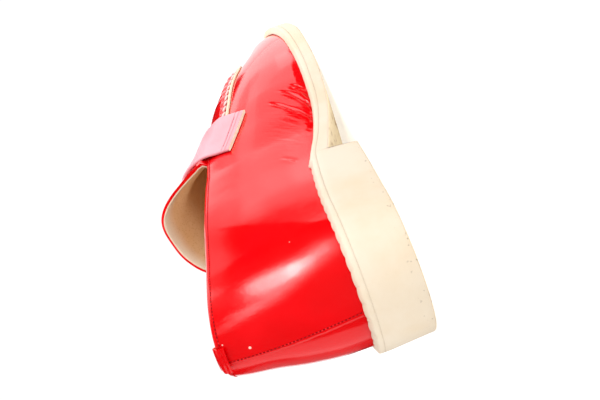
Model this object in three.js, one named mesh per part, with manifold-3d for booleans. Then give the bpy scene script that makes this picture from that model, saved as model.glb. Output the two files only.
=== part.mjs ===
// A left loafer standing on its sole: millimetres, toe towards +X, lateral side towards +Y, up +Z.
// Every piece is cut from one function, the last, so that pieces lie on each other as leather does.
import * as THREE from "three";
import Module from "manifold-3d";

const kernel = await Module();
kernel.setup();
const { Manifold, Mesh, CrossSection } = kernel;

// Driving sizes. x runs from the back of the upper to its toe tip.
const LAST_LENGTH = 252;
const WALL = 2.0; // upper leather with its lining
const GAP = 0.3; // clearance between pieces that lie on each other
const REACH = 3.6; // how far welt and sole stand out past the upper
const WELT_HEIGHT = 3.6;
const WELT_FALL = 0.9; // the welt's outer edge is lower than its inner one
const TOOTH_PITCH = 6.5;
const TOOTH_DEPTH = 0.6;
const INSOLE_THICK = 2.4;
const HEEL_LENGTH = 83; // from the back of the upper to the heel's breast
const HEEL_TAPER = 1.2; // how much smaller the heel is at the floor, each side
const EDGE_ROUND = 1.0; // rounded lower edge of sole and heel
const STRAP_THICK = 1.9;
const LIP_HEIGHT = 1.3; // upstanding edge of the moccasin seam
const LIP_WIDTH = 2.0;
const TAB_HALF_WIDTH = 6.0;
const TAB_THICK = 1.0;
const TAB_DROP = 3.2;

// Plan of the last at its lower edge: half widths each side of the centre line.
const PLAN = [
  { x: 34, medial: 26.0, lateral: 25.8 },
  { x: 62, medial: 26.8, lateral: 27.3 },
  { x: 92, medial: 25.6, lateral: 30.5 },
  { x: 112, medial: 25.9, lateral: 33.6 },
  { x: 135, medial: 30.4, lateral: 37.8 },
  { x: 155, medial: 35.3, lateral: 40.8 },
  { x: 178, medial: 37.8, lateral: 42.0 },
];
const HEEL_ROUND = 1.95; // exponents of the heel's and the toe's round
const TOE_ROUND = 2.15;
const TOE_SWING = -6; // the toe tip lies towards the medial side
const HEEL_SWING = -2; // and so does the back seam
const RIDGE_SWING = -2; // and the ridge of the instep

// Side view: the upper's lower edge, the sole's underside, the ridge, and how boxy a section is.
const SIDE = [
  { x: 0, edge: 19.8, under: 16.0, ridge: 102, boxy: 2.0 },
  { x: 40, edge: 20.0, under: 15.5, ridge: 101, boxy: 2.0 },
  { x: 78, edge: 18.0, under: 12.6, ridge: 106, boxy: 2.0 },
  { x: 105, edge: 11.6, under: 7.2, ridge: 96, boxy: 1.95 },
  { x: 135, edge: 6.2, under: 1.6, ridge: 77, boxy: 1.9 },
  { x: 165, edge: 4.9, under: 0, ridge: 63, boxy: 2.0 },
  { x: 195, edge: 5.4, under: 0, ridge: 51, boxy: 2.3 },
  { x: 222, edge: 8.2, under: 2.6, ridge: 35.5, boxy: 2.5 },
  { x: 252, edge: 13.8, under: 7.0, ridge: 26, boxy: 2.5 },
];
const SPINE_BACK = 24; // the ridge starts this far from the back and ends at SPINE_FRONT
const SPINE_FRONT = 231;

// Plan of the plug, which runs back under the strap as a broad tongue.
const PLUG = [
  { x: 134, half: 21 },
  { x: 158, half: 24 },
  { x: 180, half: 25.8 },
  { x: 198, half: 26 },
];
const PLUG_FRONT = 222;
const TONGUE_HALF = 30; // behind the throat the tongue reaches down to the quarters

// The slanting end of the tongue: here x runs across it, from the medial to the lateral side.
const TONGUE_END = [
  { x: -24, back: 128 },
  { x: -17.5, back: 126.6 },
  { x: -15.5, back: 123.6 },
  { x: -10, back: 121.4 },
  { x: 0, back: 118.7 },
  { x: 7, back: 117.2 },
  { x: 16, back: 112.2 },
  { x: 21, back: 108.6 },
  { x: 30, back: 104.5 },
];

// Side view of the cuts: topline of the quarters, end of the quarters, edges of the strap.
const TOPLINE = [
  { x: -20, z: 76.6 },
  { x: 6, z: 76.4 },
  { x: 14, z: 75.6 },
  { x: 30, z: 73.2 },
  { x: 60, z: 69.0 },
  { x: 95, z: 65.2 },
  { x: 134, z: 61.0 },
];
const THROAT_TOP = { x: 157, z: 100 }; // the quarters end under the strap along this slope
const STRAP_SIDE = [
  { x: 126, z: 50.0 },
  { x: 147, z: 37.6 },
  { x: 163, z: 66.5 },
  { x: 172, z: 82 },
  { x: 152, z: 95 },
];

const STATIONS = 80; // around the last
const ROWS = 12; // up its wall
const HIGH = 200;

// Smooth value of a named column at x: a Hermite curve that never overshoots its rows.
function column(rows, name, x) {
  const last = rows.length - 1;
  if (x <= rows[0].x) return rows[0][name];
  if (x >= rows[last].x) return rows[last][name];
  const i = rows.findIndex((row) => row.x > x) - 1;
  const slope = (k) => (rows[k + 1][name] - rows[k][name]) / (rows[k + 1].x - rows[k].x);
  const tangent = (k) => {
    if (k === 0 || k === last) return 0;
    const before = slope(k - 1);
    const after = slope(k);
    return before * after <= 0 ? 0 : (2 * before * after) / (before + after);
  };
  const span = rows[i + 1].x - rows[i].x;
  const t = (x - rows[i].x) / span;
  return (
    rows[i][name] * (1 + 2 * t) * (1 - t) ** 2 +
    rows[i + 1][name] * (3 - 2 * t) * t * t +
    tangent(i) * span * t * (1 - t) ** 2 -
    tangent(i + 1) * span * t * t * (1 - t)
  );
}

// Half width of a table that ends in superellipse rounds.
function rounded(rows, name, x, start, startPower, end, endPower) {
  const first = rows[0];
  const last = rows[rows.length - 1];
  if (x < first.x && start !== null) {
    const t = Math.min(1, (first.x - x) / (first.x - start));
    return first[name] * (1 - t ** startPower) ** (1 / startPower);
  }
  if (x > last.x) {
    const t = Math.min(1, (x - last.x) / (end - last.x));
    return last[name] * (1 - t ** endPower) ** (1 / endPower);
  }
  return column(rows, name, x);
}

function centreLine(x) {
  const ball = PLAN[PLAN.length - 1].x;
  const toe = Math.max(0, (x - ball) / (LAST_LENGTH - ball));
  const heel = Math.max(0, 1 - x / HEEL_LENGTH);
  return TOE_SWING * toe ** 2 + HEEL_SWING * heel ** 2;
}

// Point of the lower edge at an angle: 0 at the back, half a turn at the toe, lateral side first.
function planPoint(angle) {
  const x = (LAST_LENGTH * (1 - Math.cos(angle))) / 2;
  const lateral = Math.sin(angle) >= 0;
  const name = lateral ? "lateral" : "medial";
  const half = rounded(PLAN, name, x, 0, HEEL_ROUND, LAST_LENGTH, TOE_ROUND);
  return new THREE.Vector2(x, centreLine(x) + (lateral ? half : -half));
}

// The same point moved outwards in plan.
function planOffset(angle, reach) {
  const before = planPoint(angle - 1e-3);
  const after = planPoint(angle + 1e-3);
  const along = after.sub(before).normalize();
  return planPoint(angle).add(new THREE.Vector2(-along.y, along.x).multiplyScalar(reach));
}

// Where the rib that starts at x on the lower edge meets the ridge.
function spineX(x) {
  const backTurn = 2 * SPINE_BACK;
  const frontTurn = 2 * SPINE_FRONT - LAST_LENGTH;
  if (x < backTurn) return SPINE_BACK + (backTurn - SPINE_BACK) * (x / backTurn) ** 2;
  if (x <= frontTurn) return x;
  const t = (x - frontTurn) / (LAST_LENGTH - frontTurn);
  return frontTurn + (SPINE_FRONT - frontTurn) * (1 - (1 - t) ** 2);
}

// Point of the last: round it by angle, up its wall by rise, from 0 at the edge to 1 at the ridge.
function lastPoint(angle, rise) {
  const foot = planPoint(angle);
  const top = new THREE.Vector2(spineX(foot.x), 0);
  top.y = centreLine(top.x) + RIDGE_SWING;
  const turn = (rise * Math.PI) / 2;
  const boxy = column(SIDE, "boxy", top.x);
  const out = Math.max(0, Math.cos(turn)) ** (2 / boxy);
  const plan = top.clone().lerp(foot, out);
  const edge = column(SIDE, "edge", foot.x) + GAP;
  const ridge = column(SIDE, "ridge", top.x);
  return new THREE.Vector3(plan.x, plan.y, edge + (ridge - edge) * Math.sin(turn));
}

function lastNormal(angle, rise) {
  const low = Math.max(0, Math.min(rise, 0.985) - 1e-3);
  const up = lastPoint(angle, low + 2e-3).sub(lastPoint(angle, low));
  const round = lastPoint(angle + 2e-3, low + 1e-3).sub(lastPoint(angle - 2e-3, low + 1e-3));
  return up.cross(round).normalize();
}

// A closed body from points and triangles.
function body(points, triangles) {
  const mesh = new Mesh({
    numProp: 3,
    vertProperties: new Float32Array(points.flatMap((p) => [p.x, p.y, p.z])),
    triVerts: new Uint32Array(triangles.flat()),
  });
  mesh.merge();
  return Manifold.ofMesh(mesh);
}

// The last as a solid, grown by an offset and let down by a skirt below its edge.
function lastForm(offset, skirt) {
  const points = [];
  const triangles = [];
  const half = STATIONS / 2;
  const angleOf = (i) => (2 * Math.PI * i) / STATIONS;
  const grown = (angle, rise) => lastPoint(angle, rise).addScaledVector(lastNormal(angle, rise), offset);
  const lowest = skirt > 0 ? -1 : 0;
  for (let row = lowest; row < ROWS; row++) {
    for (let i = 0; i < STATIONS; i++) {
      const point = grown(angleOf(i), Math.max(0, row) / ROWS);
      if (row < 0) point.z -= skirt;
      points.push(point);
    }
  }
  // Ridge points are shared by both sides, and where they crowd at its ends one point serves.
  const ridge = [];
  for (let i = 0; i <= half; i++) {
    const lateral = grown(angleOf(i), 1);
    const medial = grown(angleOf(STATIONS - i), 1);
    const point = lateral.add(medial).multiplyScalar(0.5);
    const previous = points[ridge[i - 1]];
    if (i > 0 && previous.distanceTo(point) < 1) {
      ridge.push(ridge[i - 1]);
    } else {
      ridge.push(points.length);
      points.push(point);
    }
  }
  for (let row = lowest; row < ROWS; row++) {
    for (let i = 0; i < STATIONS; i++) {
      const a = (row - lowest) * STATIONS + i;
      const b = (row - lowest) * STATIONS + ((i + 1) % STATIONS);
      if (row < ROWS - 1) {
        triangles.push([a, a + STATIONS, b], [b, a + STATIONS, b + STATIONS]);
      } else {
        const topA = ridge[i <= half ? i : STATIONS - i];
        const topB = ridge[i < half ? i + 1 : STATIONS - i - 1];
        triangles.push([a, topA, b]);
        if (topA !== topB) triangles.push([b, topA, topB]);
      }
    }
  }
  closeStrip(triangles, 0, STATIONS, false);
  return body(points, triangles);
}

// Closes a loop of stations by strips between the two sides.
function closeStrip(triangles, start, count, upwards) {
  const half = count / 2;
  for (let i = 0; i < half; i++) {
    const a = start + i;
    const b = start + i + 1;
    const c = start + ((count - i) % count);
    const d = start + count - i - 1;
    const pair = [];
    if (i > 0) pair.push([a, b, c]);
    if (i < half - 1) pair.push([b, d, c]);
    for (const [p, q, r] of pair) triangles.push(upwards ? [p, r, q] : [p, q, r]);
  }
}

// A body bounded by loops of the plan, each moved outwards and set at a height, listed upwards.
function loopStack(loops, count) {
  const points = [];
  const triangles = [];
  for (const { reach, height } of loops) {
    for (let i = 0; i < count; i++) {
      const angle = (2 * Math.PI * i) / count;
      const plan = planOffset(angle, reach);
      points.push(new THREE.Vector3(plan.x, plan.y, height(plan.x, i)));
    }
  }
  for (let level = 0; level < loops.length - 1; level++) {
    for (let i = 0; i < count; i++) {
      const a = level * count + i;
      const b = level * count + ((i + 1) % count);
      triangles.push([a, a + count, b], [b, a + count, b + count]);
    }
  }
  closeStrip(triangles, 0, count, false);
  closeStrip(triangles, (loops.length - 1) * count, count, true);
  return body(points, triangles);
}

// A side view outline carried across the shoe.
function acrossPrism(outline) {
  const flat = new CrossSection(outline.map((p) => [p.x, p.z]), "NonZero");
  return flat.extrude(HIGH).rotate([90, 0, 0]).translate([0, HIGH / 2, 0]);
}

// The plug's plan outline carried upwards, grown by an offset.
function plugPrism(grow) {
  const steps = 30;
  const throatX = PLUG[0].x;
  const place = (x, across) => [x, centreLine(x) + RIDGE_SWING + across];
  const medial = [];
  const lateral = [];
  const end = [];
  for (let i = 0; i <= steps; i++) {
    const x = throatX + (PLUG_FRONT - throatX) * Math.sin((Math.PI * i) / steps / 2);
    const half = rounded(PLUG, "half", x, null, 0, PLUG_FRONT, TOE_ROUND);
    medial.push(place(x, -half));
    if (i < steps) lateral.unshift(place(x, half));
    const across = TONGUE_HALF - ((TONGUE_HALF + PLUG[0].half) * i) / steps;
    end.push(place(column(TONGUE_END, "back", across), across));
  }
  const corner = [place(throatX - 1.2, PLUG[0].half), place(throatX - 2.2, TONGUE_HALF)];
  const flat = new CrossSection([...medial, ...lateral, ...corner, ...end], "NonZero");
  return flat.offset(grow, "Round", 2, 12).extrude(HIGH);
}

const edgeAt = (x) => column(SIDE, "edge", x);
const underAt = (x) => column(SIDE, "under", x);

function outsole() {
  const slab = loopStack(
    [
      { reach: REACH - EDGE_ROUND, height: (x) => underAt(x) },
      { reach: REACH - EDGE_ROUND * 0.3, height: (x) => underAt(x) + EDGE_ROUND * 0.3 },
      { reach: REACH, height: (x) => underAt(x) + EDGE_ROUND },
      { reach: REACH, height: (x) => edgeAt(x) },
    ],
    STATIONS,
  );
  const low = REACH - HEEL_TAPER;
  const heel = loopStack(
    [
      { reach: low - EDGE_ROUND, height: () => 0 },
      { reach: low - EDGE_ROUND * 0.3, height: () => EDGE_ROUND * 0.3 },
      { reach: low, height: () => EDGE_ROUND },
      { reach: REACH, height: (x) => edgeAt(x) - 2 },
    ],
    STATIONS,
  );
  return slab.add(heel.trimByPlane([-1, 0, 0], -HEEL_LENGTH));
}

function welt() {
  const around = 620;
  const count = 4 * Math.round(around / TOOTH_PITCH / 2);
  const tooth = (i) => (i % 2 === 0 ? 0 : TOOTH_DEPTH);
  const strip = loopStack(
    [
      { reach: REACH, height: (x) => edgeAt(x) + GAP },
      { reach: REACH, height: (x) => edgeAt(x) + WELT_HEIGHT - WELT_FALL - 0.5 },
      { reach: REACH - 0.5, height: (x) => edgeAt(x) + WELT_HEIGHT - WELT_FALL },
      { reach: 0.9, height: (x, i) => edgeAt(x) + WELT_HEIGHT - tooth(i) },
      { reach: -1.2, height: (x, i) => edgeAt(x) + WELT_HEIGHT - tooth(i) },
    ],
    count,
  );
  return strip.subtract(lastForm(GAP, 8));
}

function insole() {
  const reach = -WALL - GAP;
  return loopStack(
    [
      { reach, height: (x) => edgeAt(x) + GAP },
      { reach, height: (x) => edgeAt(x) + GAP + INSOLE_THICK },
    ],
    STATIONS,
  );
}

const throat = TOPLINE[TOPLINE.length - 1];
const collar = acrossPrism([...TOPLINE, THROAT_TOP, { x: THROAT_TOP.x, z: HIGH }, { x: -20, z: HIGH }]);
const underTopline = acrossPrism([
  { x: -20, z: 0 },
  { x: throat.x, z: 0 },
  ...TOPLINE.map(({ x, z }) => ({ x, z: z + GAP })).reverse(),
]);
const aheadOfThroat = acrossPrism([
  { x: throat.x - 1, z: 0 },
  { x: 2 * HIGH, z: 0 },
  { x: 2 * HIGH, z: HIGH },
  { x: throat.x - 1, z: HIGH },
]);
const outer = lastForm(0, 0);
const inner = lastForm(-WALL, 8);

function upper() {
  const shell = outer.subtract(inner).subtract(collar).subtract(plugPrism(0).intersect(aheadOfThroat));
  const [, foot, , front] = STRAP_SIDE;
  const ahead = acrossPrism([
    { x: foot.x + GAP, z: foot.z },
    { x: HIGH * 2, z: foot.z - HIGH / 10 },
    { x: HIGH * 2, z: HIGH },
    { x: front.x + GAP, z: front.z },
  ]);
  const lipBand = plugPrism(LIP_WIDTH).subtract(plugPrism(0)).intersect(ahead);
  const lip = lastForm(LIP_HEIGHT, 0).subtract(lastForm(-WALL / 2, 8)).intersect(lipBand);
  return shell.add(lip);
}

function plug() {
  return outer.subtract(inner).intersect(plugPrism(-GAP)).subtract(underTopline);
}

function strap() {
  const band = lastForm(GAP + STRAP_THICK, 0).subtract(lastForm(GAP, 8));
  return band.intersect(acrossPrism(STRAP_SIDE));
}

function backTab() {
  const top = column(TOPLINE, "z", 4);
  const box = (low, high) =>
    Manifold.cube([20, 2 * TAB_HALF_WIDTH, high - low]).translate([-8, centreLine(0) - TAB_HALF_WIDTH, low]);
  const fold = lastForm(GAP + TAB_THICK, 0).subtract(lastForm(-WALL - GAP - TAB_THICK, 8));
  const inside = lastForm(GAP, 0).subtract(lastForm(-WALL - GAP, 8));
  const kept = fold.intersect(box(top - TAB_DROP, top + GAP + TAB_THICK));
  return kept.subtract(inside.intersect(box(0, top + GAP)));
}

function toGeometry(solid) {
  const mesh = solid.getMesh();
  const geometry = new THREE.BufferGeometry();
  const points = new Float32Array(mesh.numVert * 3);
  for (let i = 0; i < mesh.numVert; i++) {
    for (let k = 0; k < 3; k++) points[3 * i + k] = mesh.vertProperties[mesh.numProp * i + k];
  }
  geometry.setAttribute("position", new THREE.BufferAttribute(points, 3));
  geometry.setIndex(new THREE.BufferAttribute(new Uint32Array(mesh.triVerts), 1));
  geometry.computeVertexNormals();
  return geometry;
}

const RED = { color: 0xd8101c, roughness: 0.25, metalness: 0 };
const CREAM = { color: 0xf4e6cf, roughness: 0.6, metalness: 0 };
const pieces = [
  { name: "outsole", make: outsole, finish: CREAM },
  { name: "welt", make: welt, finish: CREAM },
  { name: "insole", make: insole, finish: { color: 0xc8aa7d, roughness: 0.8, metalness: 0 } },
  { name: "upper", make: upper, finish: RED },
  { name: "plug", make: plug, finish: RED },
  { name: "strap", make: strap, finish: { color: 0xf4a9bd, roughness: 0.4, metalness: 0 } },
  { name: "back_tab", make: backTab, finish: RED },
];

const shoe = new THREE.Group();
shoe.name = "loafer";
for (const { name, make, finish } of pieces) {
  const mesh = new THREE.Mesh(toGeometry(make()), new THREE.MeshStandardMaterial(finish));
  mesh.name = name;
  shoe.add(mesh);
}

// The origin lies under the middle of the shoe.
const middle = new THREE.Box3().setFromObject(shoe).getCenter(new THREE.Vector3());
for (const mesh of shoe.children) mesh.geometry.translate(-middle.x, -middle.y, 0);

export default shoe;
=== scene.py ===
# %% [markdown]
# # A red loafer with a pink strap
# One left shoe stands on its sole. A loafer is a moccasin: leather drawn round a wooden last, a plug
# sewn into the front, a strap across the instep, and a sole unit under a welt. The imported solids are
# loaded first. They fix every size, and each piece of this lesson is then laid where its solid is,
# with finer form and finish.

import math

import bpy
import numpy as np
from mathutils import Matrix


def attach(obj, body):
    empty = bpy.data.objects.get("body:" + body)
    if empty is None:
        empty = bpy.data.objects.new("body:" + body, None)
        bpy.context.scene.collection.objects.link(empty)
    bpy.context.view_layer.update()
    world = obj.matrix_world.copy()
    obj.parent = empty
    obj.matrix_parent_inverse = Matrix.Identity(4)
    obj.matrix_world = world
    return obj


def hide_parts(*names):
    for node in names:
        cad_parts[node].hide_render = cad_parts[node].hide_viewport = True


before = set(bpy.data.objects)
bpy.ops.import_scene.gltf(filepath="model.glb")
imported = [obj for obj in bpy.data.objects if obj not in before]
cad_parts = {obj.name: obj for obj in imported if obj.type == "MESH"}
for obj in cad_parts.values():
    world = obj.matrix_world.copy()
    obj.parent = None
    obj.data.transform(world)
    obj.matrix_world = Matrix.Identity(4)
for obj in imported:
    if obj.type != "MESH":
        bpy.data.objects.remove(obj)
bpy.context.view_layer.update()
print("solids:", sorted(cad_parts))

# %% [markdown]
# ## The last
# Shoemakers lay every piece over a last, so the lesson needs the last before it needs leather. It could
# be sculpted, but then nothing would line up with the solids. Short tables of sizes, in millimetres from
# the back of the upper, give it by formula instead: a plan of half widths, and a side view of edge,
# underside and ridge.

# %% Sizes of the last
LAST_LENGTH = 252.0
HEEL_ROUND = 1.95
TOE_ROUND = 2.15
TOE_SWING = -6.0
HEEL_SWING = -2.0
RIDGE_SWING = -2.0
SPINE_BACK = 24.0
SPINE_FRONT = 231.0
HEEL_LENGTH = 83.0
REACH = 3.6
GAP = 0.3
PLAN = [
    dict(x=34, medial=26.0, lateral=25.8),
    dict(x=62, medial=26.8, lateral=27.3),
    dict(x=92, medial=25.6, lateral=30.5),
    dict(x=112, medial=25.9, lateral=33.6),
    dict(x=135, medial=30.4, lateral=37.8),
    dict(x=155, medial=35.3, lateral=40.8),
    dict(x=178, medial=37.8, lateral=42.0),
]
SIDE = [
    dict(x=0, edge=19.8, under=16.0, ridge=102, boxy=2.0),
    dict(x=40, edge=20.0, under=15.5, ridge=101, boxy=2.0),
    dict(x=78, edge=18.0, under=12.6, ridge=106, boxy=2.0),
    dict(x=105, edge=11.6, under=7.2, ridge=96, boxy=1.95),
    dict(x=135, edge=6.2, under=1.6, ridge=77, boxy=1.9),
    dict(x=165, edge=4.9, under=0, ridge=63, boxy=2.0),
    dict(x=195, edge=5.4, under=0, ridge=51, boxy=2.3),
    dict(x=222, edge=8.2, under=2.6, ridge=35.5, boxy=2.5),
    dict(x=252, edge=13.8, under=7.0, ridge=26, boxy=2.5),
]


def run_of(table, name):
    """A smooth run through one column of a table that never overshoots its rows."""
    xs = np.array([row["x"] for row in table], float)
    values = np.array([row[name] for row in table], float)
    slopes = np.diff(values) / np.diff(xs)
    before, after = slopes[:-1], slopes[1:]
    agree = before * after > 0
    total = np.where(agree, before + after, 1.0)
    tangents = np.zeros(len(xs))
    tangents[1:-1] = np.where(agree, 2 * before * after / total, 0.0)

    def at(x):
        x = np.clip(x, xs[0], xs[-1])
        i = np.clip(np.searchsorted(xs, x, side="right") - 1, 0, len(xs) - 2)
        span = xs[i + 1] - xs[i]
        t = (x - xs[i]) / span
        ends = values[i] * (1 + 2 * t) * (1 - t) ** 2 + values[i + 1] * (3 - 2 * t) * t * t
        return ends + span * t * (1 - t) * (tangents[i] * (1 - t) - tangents[i + 1] * t)

    return at


medial_half, lateral_half = run_of(PLAN, "medial"), run_of(PLAN, "lateral")
edge_at, under_at = run_of(SIDE, "edge"), run_of(SIDE, "under")
ridge_at, boxy_at = run_of(SIDE, "ridge"), run_of(SIDE, "boxy")
print("edge of the upper at the heel and ball:", float(edge_at(20.0)), float(edge_at(165.0)))

# %% [markdown]
# The plan runs round the last by an angle, from the back along the lateral side to the toe and home
# along the medial side.

# %% Plan of the last
PLAN_STEPS = 721
SMALL_TURN = 1e-3


def centre_line(x):
    """The middle of the plan, which swings to the medial side at toe and heel."""
    ball = PLAN[-1]["x"]
    toe = np.maximum(0, (x - ball) / (LAST_LENGTH - ball))
    heel = np.maximum(0, 1 - x / HEEL_LENGTH)
    return TOE_SWING * toe**2 + HEEL_SWING * heel**2


def plan_half(x, lateral):
    """Half width of the plan on one side."""
    first, last = PLAN[0]["x"], PLAN[-1]["x"]
    back = np.clip((first - x) / first, 0, 1)
    toe = np.clip((x - last) / (LAST_LENGTH - last), 0, 1)
    half = np.where(lateral, lateral_half(x), medial_half(x))
    half = half * (1 - back**HEEL_ROUND) ** (1 / HEEL_ROUND)
    return half * (1 - toe**TOE_ROUND) ** (1 / TOE_ROUND)


def plan_point(angle):
    """The outline at an angle: 0 at the back, half a turn at the toe."""
    x = LAST_LENGTH * (1 - np.cos(angle)) / 2
    lateral = np.sin(angle) >= 0
    y = centre_line(x) + np.where(lateral, 1, -1) * plan_half(x, lateral)
    return np.stack([x, y], -1)


def unit(vectors):
    """The same directions at length one."""
    return vectors / np.linalg.norm(vectors, axis=-1, keepdims=True)


def plan_offset(angle, reach):
    """The outline moved outward by a reach."""
    along = unit(plan_point(angle + SMALL_TURN) - plan_point(angle - SMALL_TURN))
    outward = np.stack([-along[..., 1], along[..., 0]], -1)
    return plan_point(angle) + outward * np.asarray(reach)[..., None]


outline = plan_offset(np.linspace(0, 2 * math.pi, PLAN_STEPS), np.full(PLAN_STEPS, REACH))
MIDDLE = np.array([*((outline.min(0) + outline.max(0)) / 2), 0.0])
print("middle of the shoe, from the back of the upper:", MIDDLE.round(2))

# %% [markdown]
# Ribs rise from the plan to the ridge. Where a rib is straight across, its height has a short formula.
# At the toe, where ribs fan out, the rib under a point is found by halving an interval.

# %% Ribs of the last
HALVINGS = 45
NEAR_ZERO = 1e-9


def spine_x(x):
    """Where on the ridge the rib of a foot point ends."""
    back_turn = 2 * SPINE_BACK
    front_turn = 2 * SPINE_FRONT - LAST_LENGTH
    heel = SPINE_BACK + (back_turn - SPINE_BACK) * (x / back_turn) ** 2
    t = np.clip((x - front_turn) / (LAST_LENGTH - front_turn), 0, 1)
    toe = front_turn + (SPINE_FRONT - front_turn) * (1 - (1 - t) ** 2)
    return np.where(x < back_turn, heel, np.where(x > front_turn, toe, x))


def rib_height(foot_x, top_x, out):
    """Height on a rib: out is 1 at the lower edge and 0 at the ridge."""
    edge = edge_at(foot_x) + GAP
    return edge + (ridge_at(top_x) - edge) * np.sqrt(np.clip(1 - out ** boxy_at(top_x), 0, 1))


def last_height(x, y):
    """Height of the last over a point of its plan, ahead of the heel."""
    low, high = np.array(x, float), np.full(np.shape(x), LAST_LENGTH)
    leans = low > 2 * SPINE_FRONT - LAST_LENGTH
    side = y >= centre_line(x) + RIDGE_SWING
    sign = np.where(side, 1, -1)

    def across(foot):
        top = spine_x(foot)
        top_y = centre_line(top) + RIDGE_SWING
        wide = np.abs(centre_line(foot) + sign * plan_half(foot, side) - top_y)
        return top, np.abs(y - top_y), wide

    for _ in range(HALVINGS):
        foot = (low + high) / 2
        top, away, wide = across(foot)
        out = (x - top) / np.maximum(foot - top, NEAR_ZERO)
        outside = (out < 0) | (away > out * wide)
        high = np.where(outside, foot, high)
        low = np.where(outside, low, foot)
    foot = np.where(leans, (low + high) / 2, x)
    top, away, wide = across(foot)
    fanned = (x - top) / np.maximum(foot - top, NEAR_ZERO)
    straight = away / np.maximum(wide, NEAR_ZERO)
    return rib_height(foot, top, np.clip(np.where(leans, fanned, straight), 0, 1))


print("height of the last over the ball:", last_height(np.array(165.0), np.array(0.0)).round(1))

# %% [markdown]
# ## From a grid to leather
# Each piece starts as a plain grid primitive. Its rows and columns are laid over the last, its seams are
# merged in edit mode, and then it gets its thickness. Modelling vertex by vertex on screen would do the
# same more slowly.

# %% Laying a grid
MM = 0.001
MERGE_WITHIN = 0.01 * MM
SLIVER = 0.002 * MM


def in_frame(points):
    """Millimetres from the back of the upper, as metres in the shared frame."""
    return (np.asarray(points, float) - MIDDLE) * MM


def pick(piece):
    """Makes one piece the selected and active one."""
    bpy.ops.object.select_all(action="DESELECT")
    piece.select_set(True)
    bpy.context.view_layer.objects.active = piece


def edit_all(piece, *steps):
    """Runs edit-mode operators on all of one piece."""
    pick(piece)
    bpy.ops.object.mode_set(mode="EDIT")
    bpy.ops.mesh.select_all(action="SELECT")
    for step in steps:
        step()
    bpy.ops.object.mode_set(mode="OBJECT")


def merge_seams():
    """Joins points that meet, drops slivers and turns all faces outward."""
    bpy.ops.mesh.remove_doubles(threshold=MERGE_WITHIN)
    bpy.ops.mesh.dissolve_degenerate(threshold=SLIVER)
    bpy.ops.mesh.normals_make_consistent(inside=False)


def read_all(items, name):
    """One three-part property of all vertices or faces, a row for each."""
    flat = np.empty(len(items) * 3)
    items.foreach_get(name, flat)
    return flat.reshape(-1, 3)


def laid_grid(name, points, wrap_columns=False, wrap_rows=False, slots=None, near_edge=None):
    """A grid primitive laid on points[row, column], closed across its seams where it wraps."""
    rows, columns = points.shape[:2]
    across = columns if wrap_columns else columns - 1
    up = rows if wrap_rows else rows - 1
    bpy.ops.object.select_all(action="DESELECT")
    bpy.ops.mesh.primitive_grid_add(x_subdivisions=across, y_subdivisions=up, size=2)
    piece = bpy.context.object
    piece.name = piece.data.name = name
    mesh = piece.data
    corners = read_all(mesh.vertices, "co")
    column = np.rint((corners[:, 0] + 1) / 2 * across).astype(int) % columns
    row = np.rint((corners[:, 1] + 1) / 2 * up).astype(int) % rows
    if slots is not None:
        centres = read_all(mesh.polygons, "center")
        face_column = np.floor((centres[:, 0] + 1) / 2 * across).astype(int)
        face_row = np.floor((centres[:, 1] + 1) / 2 * up).astype(int)
        mesh.polygons.foreach_set("material_index", slots(face_row, face_column).astype(np.int32))
    mesh.vertices.foreach_set("co", in_frame(points[row, column]).ravel())
    if near_edge is not None:
        mark = mesh.attributes.new("near_edge", "FLOAT", "POINT")
        mark.data.foreach_set("value", near_edge[row, column])
    mesh.update()
    if wrap_columns or wrap_rows:
        edit_all(piece, merge_seams)
    bpy.ops.object.shade_smooth()
    print(name, len(mesh.vertices), "vertices")
    return piece


# %% [markdown]
# A laid piece needs three more things: modifiers that are applied at once, the outward normals of its
# grid for moving it in or out, and a place in the frame with its materials.

# %% Finishing a piece
def finish_with(piece, kind, **settings):
    """Adds a modifier, sets it, and applies it."""
    pick(piece)
    modifier = piece.modifiers.new(kind.title(), kind)
    for name, value in settings.items():
        setattr(modifier, name, value)
    bpy.ops.object.modifier_apply(modifier=modifier.name)


def round_edges(piece, width, segments, degrees):
    """Bevels the edges that turn by more than an angle, width in millimetres."""
    limit = dict(limit_method="ANGLE", angle_limit=math.radians(degrees))
    finish_with(piece, "BEVEL", width=width * MM, segments=segments, **limit)


def grid_normals(points, wrap_columns=False):
    """Outward unit normals of a laid grid whose columns run round the last from lateral to medial."""
    along = np.gradient(points, axis=1)
    if wrap_columns:
        along = (np.roll(points, -1, 1) - np.roll(points, 1, 1)) / 2
    normals = np.cross(np.gradient(points, axis=0), along)
    return normals / np.maximum(np.linalg.norm(normals, axis=-1, keepdims=True), NEAR_ZERO)


def dress(piece, node, slot, *finishes):
    """Hands a finished piece to the frame, with its materials in order."""
    for finish in finishes:
        piece.data.materials.append(finish)
    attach(piece, "root")
    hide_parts(node)


# %% [markdown]
# ## Finishes
# Every finish is a Principled shader fed by small node sums. Writing those as Python expressions keeps
# them readable: a Strand wraps one socket, and adding or multiplying strands adds Math nodes.

# %% Strands
class Strand:
    """One output socket of a finish; arithmetic on it adds Math nodes."""

    def __init__(self, finish, socket):
        self.finish = finish
        self.socket = socket

    def sum_with(self, operation, first, second):
        return self.finish.node("Math", {"operation": operation}, {0: first, 1: second})

    def __add__(self, other):
        return self.sum_with("ADD", self, other)

    def __mul__(self, other):
        return self.sum_with("MULTIPLY", self, other)

    def __sub__(self, other):
        return self.sum_with("SUBTRACT", self, other)

    def __rsub__(self, other):
        return self.sum_with("SUBTRACT", other, self)

    def most(self, other):
        return self.sum_with("MAXIMUM", self, other)


# %% [markdown]
# A Finish is one material. Its node method makes any other node, and the short methods after it name the
# few that leather, thread and rubber need. All patterns read Object coordinates, so they stay on the
# piece when it is moved.

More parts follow.
